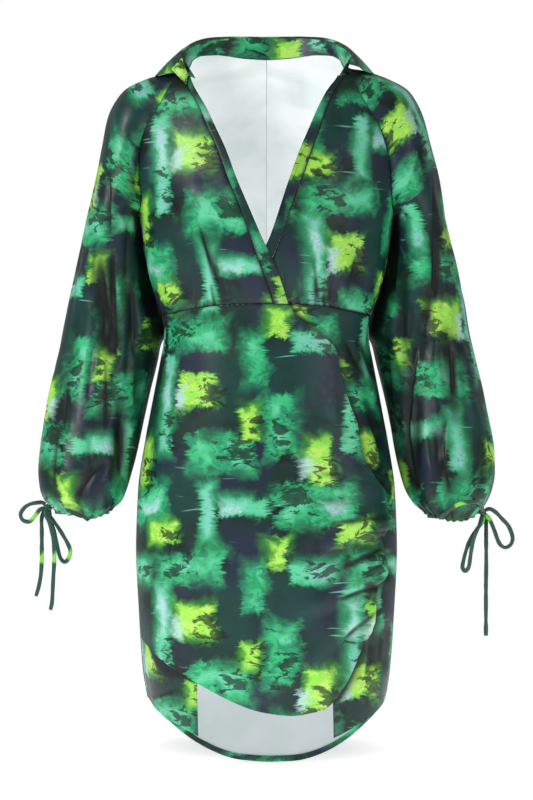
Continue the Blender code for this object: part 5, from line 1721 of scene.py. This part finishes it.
def knot(name, centre):
    """Knot of a bow: the tie wound round itself, as a lump with slanting turns."""
    form = bmesh.new()
    bmesh.ops.create_uvsphere(form, u_segments=36, v_segments=24, radius=1.0)
    place = form.loops.layers.uv.new("Print")
    for face in form.faces:
        for loop in face.loops:
            x, y, z = loop.vert.co
            loop[place].uv = (math.atan2(x, -y) * 6 * MM, (z * 6 + 40) * MM)
    for vertex in form.verts:
        x, y, z = vertex.co
        turn = math.cos(3.4 * (z + 0.55 * x) + 0.8)
        swell = 1 + 0.10 * turn - 0.05 * math.cos(5 * x + 2 * z)
        vertex.co = (np.array(centre) + np.array(KNOT_SIZE) * swell * (x, y, z)) * MM
    satin_piece(name, form)


def bow(side_name):
    """Knot, loops and tails of one cuff's drawstring."""
    routes = TIES[side_name]
    knot("tie_knot_" + side_name, routes["knot"])
    for piece, route in routes.items():
        if piece == "knot":
            continue
        closed = piece.startswith("loop")
        path = cord_path(route, routes["knot"], closed)
        name = "tie_" + piece + "_" + side_name
        tie(name, path)


def stitch_tree():
    """Geometry nodes that lay one short stitch at every step of the seam lines."""
    tree = bpy.data.node_groups.new("Row of stitches", "GeometryNodeTree")
    tree.interface.new_socket("Geometry", in_out="INPUT", socket_type="NodeSocketGeometry")
    for name in ("Pitch", "Stitch length", "Thread"):
        tree.interface.new_socket(name, in_out="INPUT", socket_type="NodeSocketFloat")
    tree.interface.new_socket("Geometry", in_out="OUTPUT", socket_type="NodeSocketGeometry")

    def add(kind, links=(), **values):
        node = tree.nodes.new(kind)
        for key, value in values.items():
            setattr(node, key, value)
        for socket, output in links:
            tree.links.new(output, node.inputs[socket])
        return node

    source = add("NodeGroupInput").outputs
    line = add("GeometryNodeMeshToCurve", [("Mesh", source["Geometry"])])
    even = add(
        "GeometryNodeResampleCurve",
        [("Curve", line.outputs[0]), ("Length", source["Pitch"])],
        mode="LENGTH",
    )
    away = add("GeometryNodeInputNamedAttribute", data_type="FLOAT_VECTOR")
    away.inputs["Name"].default_value = "cloth_normal"
    tangent = add("GeometryNodeInputTangent")
    lifted = add(
        "FunctionNodeAlignRotationToVector", [("Vector", away.outputs[0])], axis="Z"
    )
    turned = add(
        "FunctionNodeAlignRotationToVector",
        [("Rotation", lifted.outputs[0]), ("Vector", tangent.outputs[0])],
        axis="X",
        pivot_axis="Z",
    )
    thread = add("GeometryNodeMeshUVSphere")
    for socket, value in (("Segments", 6), ("Rings", 4), ("Radius", 0.5)):
        thread.inputs[socket].default_value = value
    size = add(
        "ShaderNodeCombineXYZ",
        [("X", source["Stitch length"]), ("Y", source["Thread"]), ("Z", source["Thread"])],
    )
    laid = add(
        "GeometryNodeInstanceOnPoints",
        [
            ("Points", even.outputs[0]),
            ("Instance", thread.outputs[0]),
            ("Rotation", turned.outputs[0]),
            ("Scale", size.outputs[0]),
        ],
    )
    whole = add("GeometryNodeRealizeInstances", [("Geometry", laid.outputs[0])])
    smooth_faces = add("GeometryNodeSetShadeSmooth", [("Geometry", whole.outputs[0])])
    painted = add("GeometryNodeSetMaterial", [("Geometry", smooth_faces.outputs[0])])
    painted.inputs["Material"].default_value = material("Green thread", thread_material)
    add("NodeGroupOutput", [("Geometry", painted.outputs[0])])
    return tree


def stitches():
    """All topstitching, as one plain mesh of small threads on the cloth."""
    places, normals, edges = [], [], []
    for points, away in STITCH_LINES:
        first = len(places)
        places += list((points + away * STITCH_LIFT) * MM)
        normals += list(away)
        edges += [(first + i, first + i + 1) for i in range(len(points) - 1)]
    mesh = bpy.data.meshes.new("topstitching")
    mesh.from_pydata([tuple(place) for place in places], edges, [])
    kept = mesh.attributes.new("cloth_normal", "FLOAT_VECTOR", "POINT")
    kept.data.foreach_set("vector", np.array(normals).ravel())
    made = in_scene("topstitching", mesh)
    rows = made.modifiers.new("Stitches", "NODES")
    rows.node_group = stitch_tree()
    settings = bpy.context.scene.wrap_dress_stitches
    sizes = {
        "Pitch": settings.pitch, "Stitch length": settings.length, "Thread": settings.thickness,
    }
    for socket in rows.node_group.interface.items_tree:
        if socket.in_out == "INPUT" and socket.name in sizes:
            rows[socket.identifier] = sizes[socket.name]
    plain(made)
    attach(made, "root")


def light(name, place, size, power):
    """Large soft light that faces the dress."""
    lamp = bpy.data.lights.new(name, "AREA")
    lamp.shape = "RECTANGLE"
    lamp.size, lamp.size_y = size
    lamp.energy = power
    made = in_scene(name, lamp)
    made.location = place
    way = Vector(LIGHT_AIM) - Vector(place)
    made.rotation_euler = way.to_track_quat("-Z", "Y").to_euler()


def stage():
    """Round pale floor, white surroundings and two soft lights."""
    settings = bpy.context.scene.wrap_dress_stage
    mesh = bpy.data.meshes.new("floor")
    form = bmesh.new()
    bmesh.ops.create_circle(form, cap_ends=True, segments=96, radius=settings.floor_radius)
    bmesh.ops.translate(form, verts=form.verts, vec=(0.0, 0.0, settings.floor_height))
    form.to_mesh(mesh)
    form.free()
    mesh.materials.append(material("Pale paper", floor_material))
    in_scene("floor", mesh)
    world = bpy.data.worlds.new("Studio white")
    bpy.context.scene.world = world
    world.use_nodes = True
    back = world.node_tree.nodes["Background"]
    back.inputs["Color"].default_value = (1.0, 1.0, 1.0, 1.0)
    tree = Tree(world.node_tree)
    strength = tree.add("MapRange", tree.add("LightPath"), 0.0, 1.0, settings.surround, 1.0)
    tree.set(back.inputs["Strength"], strength)
    light("Key light", *KEY_LIGHT, settings.key)
    light("Fill light", *FILL_LIGHT, settings.fill)
    bpy.context.scene.view_settings.view_transform = "Standard"


def camera():
    """Level camera straight in front, framed as the photograph is."""
    lens = bpy.data.cameras.new("Camera")
    lens.sensor_fit = "VERTICAL"
    lens.sensor_height = SENSOR
    lens.lens = SENSOR * CAMERA_DISTANCE / PICTURE_HEIGHT
    made = in_scene("Camera", lens)
    made.location = (0.0, -CAMERA_DISTANCE, CAMERA_HEIGHT)
    made.rotation_euler = (math.radians(90), 0.0, 0.0)
    bpy.context.scene.camera = made


def size(name, value, description, **extra):
    """Property for a length in metres."""
    return FloatProperty(
        name=name, default=value, description=description, min=0.0, unit="LENGTH",
        subtype="DISTANCE", precision=4, **extra
    )


def number(name, value, description):
    """Property for a plain amount."""
    return FloatProperty(name=name, default=value, description=description, min=0.0)


def colour(name, code, description):
    """Property for a colour given by its six-figure code."""
    return FloatVectorProperty(
        name=name, default=linear(code), description=description, size=4, subtype="COLOR",
        min=0.0, max=1.0,
    )


class WRAPDRESS_PG_cloth(bpy.types.PropertyGroup):
    wall: size("Wall", 0.0011, "Thickness of the cloth")
    sheen: number("Sheen", 0.03, "Strength of the soft sheen")
    roughness: number("Roughness", 0.39, "Mean roughness of the satin face")
    reverse: colour("Reverse", "ECEDF0", "Unprinted side of the cloth")
    reverse_shade: colour("Reverse shade", "DAE2DF", "Show-through on the unprinted side")
    # Colour of the painted shade low down inside the skirt's hem.
    reverse_in_shade: colour("Reverse low down", "9CA4A6", "Unprinted side inside the skirt's hem")
    # Strength of the reverse's painted glow.
    painted_glow: number("Show-through", 0.26, "Light that comes through the thin cloth")


class WRAPDRESS_PG_print(bpy.types.PropertyGroup):
    repeat_across: size("Repeat across", 0.250, "Width of the print's repeat")
    repeat_up: size("Repeat up", 0.290, "Height of the print's repeat")
    slate: colour("Slate", "1F2A3D", "Blue-grey part of the ground")
    dark_green: colour("Dark green", "102F29", "Green part of the ground")
    deep_teal: colour("Deep teal", "10413A", "Soft darker blocks")
    ink: colour("Ink", "0B1A18", "Dark marks in the light blocks")
    teal: colour("Teal", "219166", "Shaded part of the emerald blocks")
    emerald: colour("Emerald", "36BC79", "Emerald blocks")
    mint: colour("Mint", "60CE9F", "Mint blocks")
    aqua: colour("Aqua", "7ACCB8", "Bluer part of the mint blocks")
    grass: colour("Grass", "46A833", "Rims of the lime blocks")
    lime: colour("Lime", "98E64E", "Lime blocks")
    yellow_lime: colour("Yellow lime", "BCEB66", "Yellower part of the lime blocks")
    lavender: colour("Lavender", "B9DFE2", "Pale spots")


class WRAPDRESS_PG_ties(bpy.types.PropertyGroup):
    width: size("Width", 0.0052, "Width of the flat ties")
    thickness: size("Thickness", 0.0026, "Thickness of the flat ties")
    ground: colour("Ground", "1D4A40", "Ground colour of the ties")
    mint: colour("Mint", "5FC79B", "Mint stretches of the ties")
    lime: colour("Lime", "7FD83F", "Lime stretches of the ties")


class WRAPDRESS_PG_stitches(bpy.types.PropertyGroup):
    pitch: size("Pitch", 0.0028, "From one stitch to the next")
    length: size("Stitch length", 0.0021, "Length of one stitch")
    thickness: size("Thread", 0.00035, "Thickness of the thread")
    thread: colour("Thread colour", "2C6B55", "Colour of the sewing thread")


class WRAPDRESS_PG_stage(bpy.types.PropertyGroup):
    floor_height: FloatProperty(
        name="Floor height", default=-0.8835, description="Height of the floor",
        unit="LENGTH", subtype="DISTANCE",
    )
    floor_radius: size("Floor radius", 1.6, "Radius of the round floor")
    floor: colour("Floor", "F6F6F6", "Colour of the floor")
    # Glow inside the floor's painted shadow.
    glow: number("Floor glow", 0.29, "Light that the white floor gives off near the dress")
    far_glow: number("Far floor glow", 0.90, "Light that the white floor gives off far away")
    surround: number("Surround", 0.30, "Light from the white surroundings")
    key: number("Key light", 74.0, "Power of the light from the upper left")
    fill: number("Fill light", 20.0, "Power of the light from the right")


class WRAPDRESS_OT_camera(bpy.types.Operator):
    """Make the camera"""

    bl_idname = "wrapdress.camera"
    bl_label = "Camera"

    def execute(self, context):
        camera()
        return {"FINISHED"}


class WRAPDRESS_OT_ties(bpy.types.Operator):
    """Make both cuffs' bows of free ties"""

    bl_idname = "wrapdress.ties"
    bl_label = "Cuff ties"

    def execute(self, context):
        bow("left")
        bow("right")
        return {"FINISHED"}


class WRAPDRESS_OT_bodice(bpy.types.Operator):
    """Make the bodice fronts, their neck bands and the back bodice"""

    bl_idname = "wrapdress.bodice"
    bl_label = "Bodice"

    def execute(self, context):
        bodice_front(-1, NECK_EDGE_OVER, 1, overlap_lift, "over", BODICE_OVER_TROUGHS)
        bodice_front(1, NECK_EDGE_UNDER, 2, flat_layer, "under", BODICE_UNDER_TROUGHS)
        bodice_back(-1)
        bodice_back(1)
        return {"FINISHED"}


class WRAPDRESS_OT_sleeves(bpy.types.Operator):
    """Make the raglan sleeves and their drawstring casings"""

    bl_idname = "wrapdress.sleeves"
    bl_label = "Sleeves"

    def execute(self, context):
        sleeve(-1)
        sleeve(1)
        return {"FINISHED"}


class WRAPDRESS_OT_collar(bpy.types.Operator):
    """Make the collar's stand and leaf"""

    bl_idname = "wrapdress.collar"
    bl_label = "Collar"

    def execute(self, context):
        collar()
        return {"FINISHED"}


class WRAPDRESS_OT_skirt(bpy.types.Operator):
    """Make the overlapping skirt, the two under fronts and the back"""

    bl_idname = "wrapdress.skirt"
    bl_label = "Skirt"

    def execute(self, context):
        skirt_over()
        skirt_under(-1)
        skirt_under(1)
        skirt_back()
        return {"FINISHED"}


class WRAPDRESS_OT_stitches(bpy.types.Operator):
    """Lay the topstitching on the finished cloth"""

    bl_idname = "wrapdress.stitches"
    bl_label = "Topstitching"

    def execute(self, context):
        if not STITCH_LINES:
            raise RuntimeError("make the cloth pieces before their topstitching")
        stitches()
        return {"FINISHED"}


class WRAPDRESS_OT_stage(bpy.types.Operator):
    """Make the floor, the surroundings and the lights"""

    bl_idname = "wrapdress.stage"
    bl_label = "Stage"

    def execute(self, context):
        stage()
        return {"FINISHED"}


class WRAPDRESS_PT_panel(bpy.types.Panel):
    """Settings and steps of the wrap dress"""

    bl_idname = "WRAPDRESS_PT_panel"
    bl_label = "Wrap dress"
    bl_space_type = "VIEW_3D"
    bl_region_type = "UI"
    bl_category = "Wrap dress"

    def draw(self, context):
        for group in GROUPS:
            settings = getattr(context.scene, group)
            box = self.layout.box()
            for name in settings.__annotations__:
                box.prop(settings, name)
        for step in STEPS:
            self.layout.operator(step.bl_idname)


GROUPS = {
    "wrap_dress_cloth": WRAPDRESS_PG_cloth,
    "wrap_dress_print": WRAPDRESS_PG_print,
    "wrap_dress_ties": WRAPDRESS_PG_ties,
    "wrap_dress_stitches": WRAPDRESS_PG_stitches,
    "wrap_dress_stage": WRAPDRESS_PG_stage,
}
STEPS = (
    WRAPDRESS_OT_camera,
    WRAPDRESS_OT_ties,
    WRAPDRESS_OT_bodice,
    WRAPDRESS_OT_sleeves,
    WRAPDRESS_OT_collar,
    WRAPDRESS_OT_skirt,
    WRAPDRESS_OT_stitches,
    WRAPDRESS_OT_stage,
)


def register():
    for made in (*GROUPS.values(), *STEPS, WRAPDRESS_PT_panel):
        bpy.utils.register_class(made)
    for name, group in GROUPS.items():
        setattr(bpy.types.Scene, name, PointerProperty(type=group))


def unregister():
    for name in GROUPS:
        delattr(bpy.types.Scene, name)
    for made in (WRAPDRESS_PT_panel, *reversed(STEPS), *GROUPS.values()):
        bpy.utils.unregister_class(made)


def main():
    register()
    for step in STEPS:
        group, name = step.bl_idname.split(".")
        getattr(getattr(bpy.ops, group), name)()


if __name__ == "__main__":
    main()
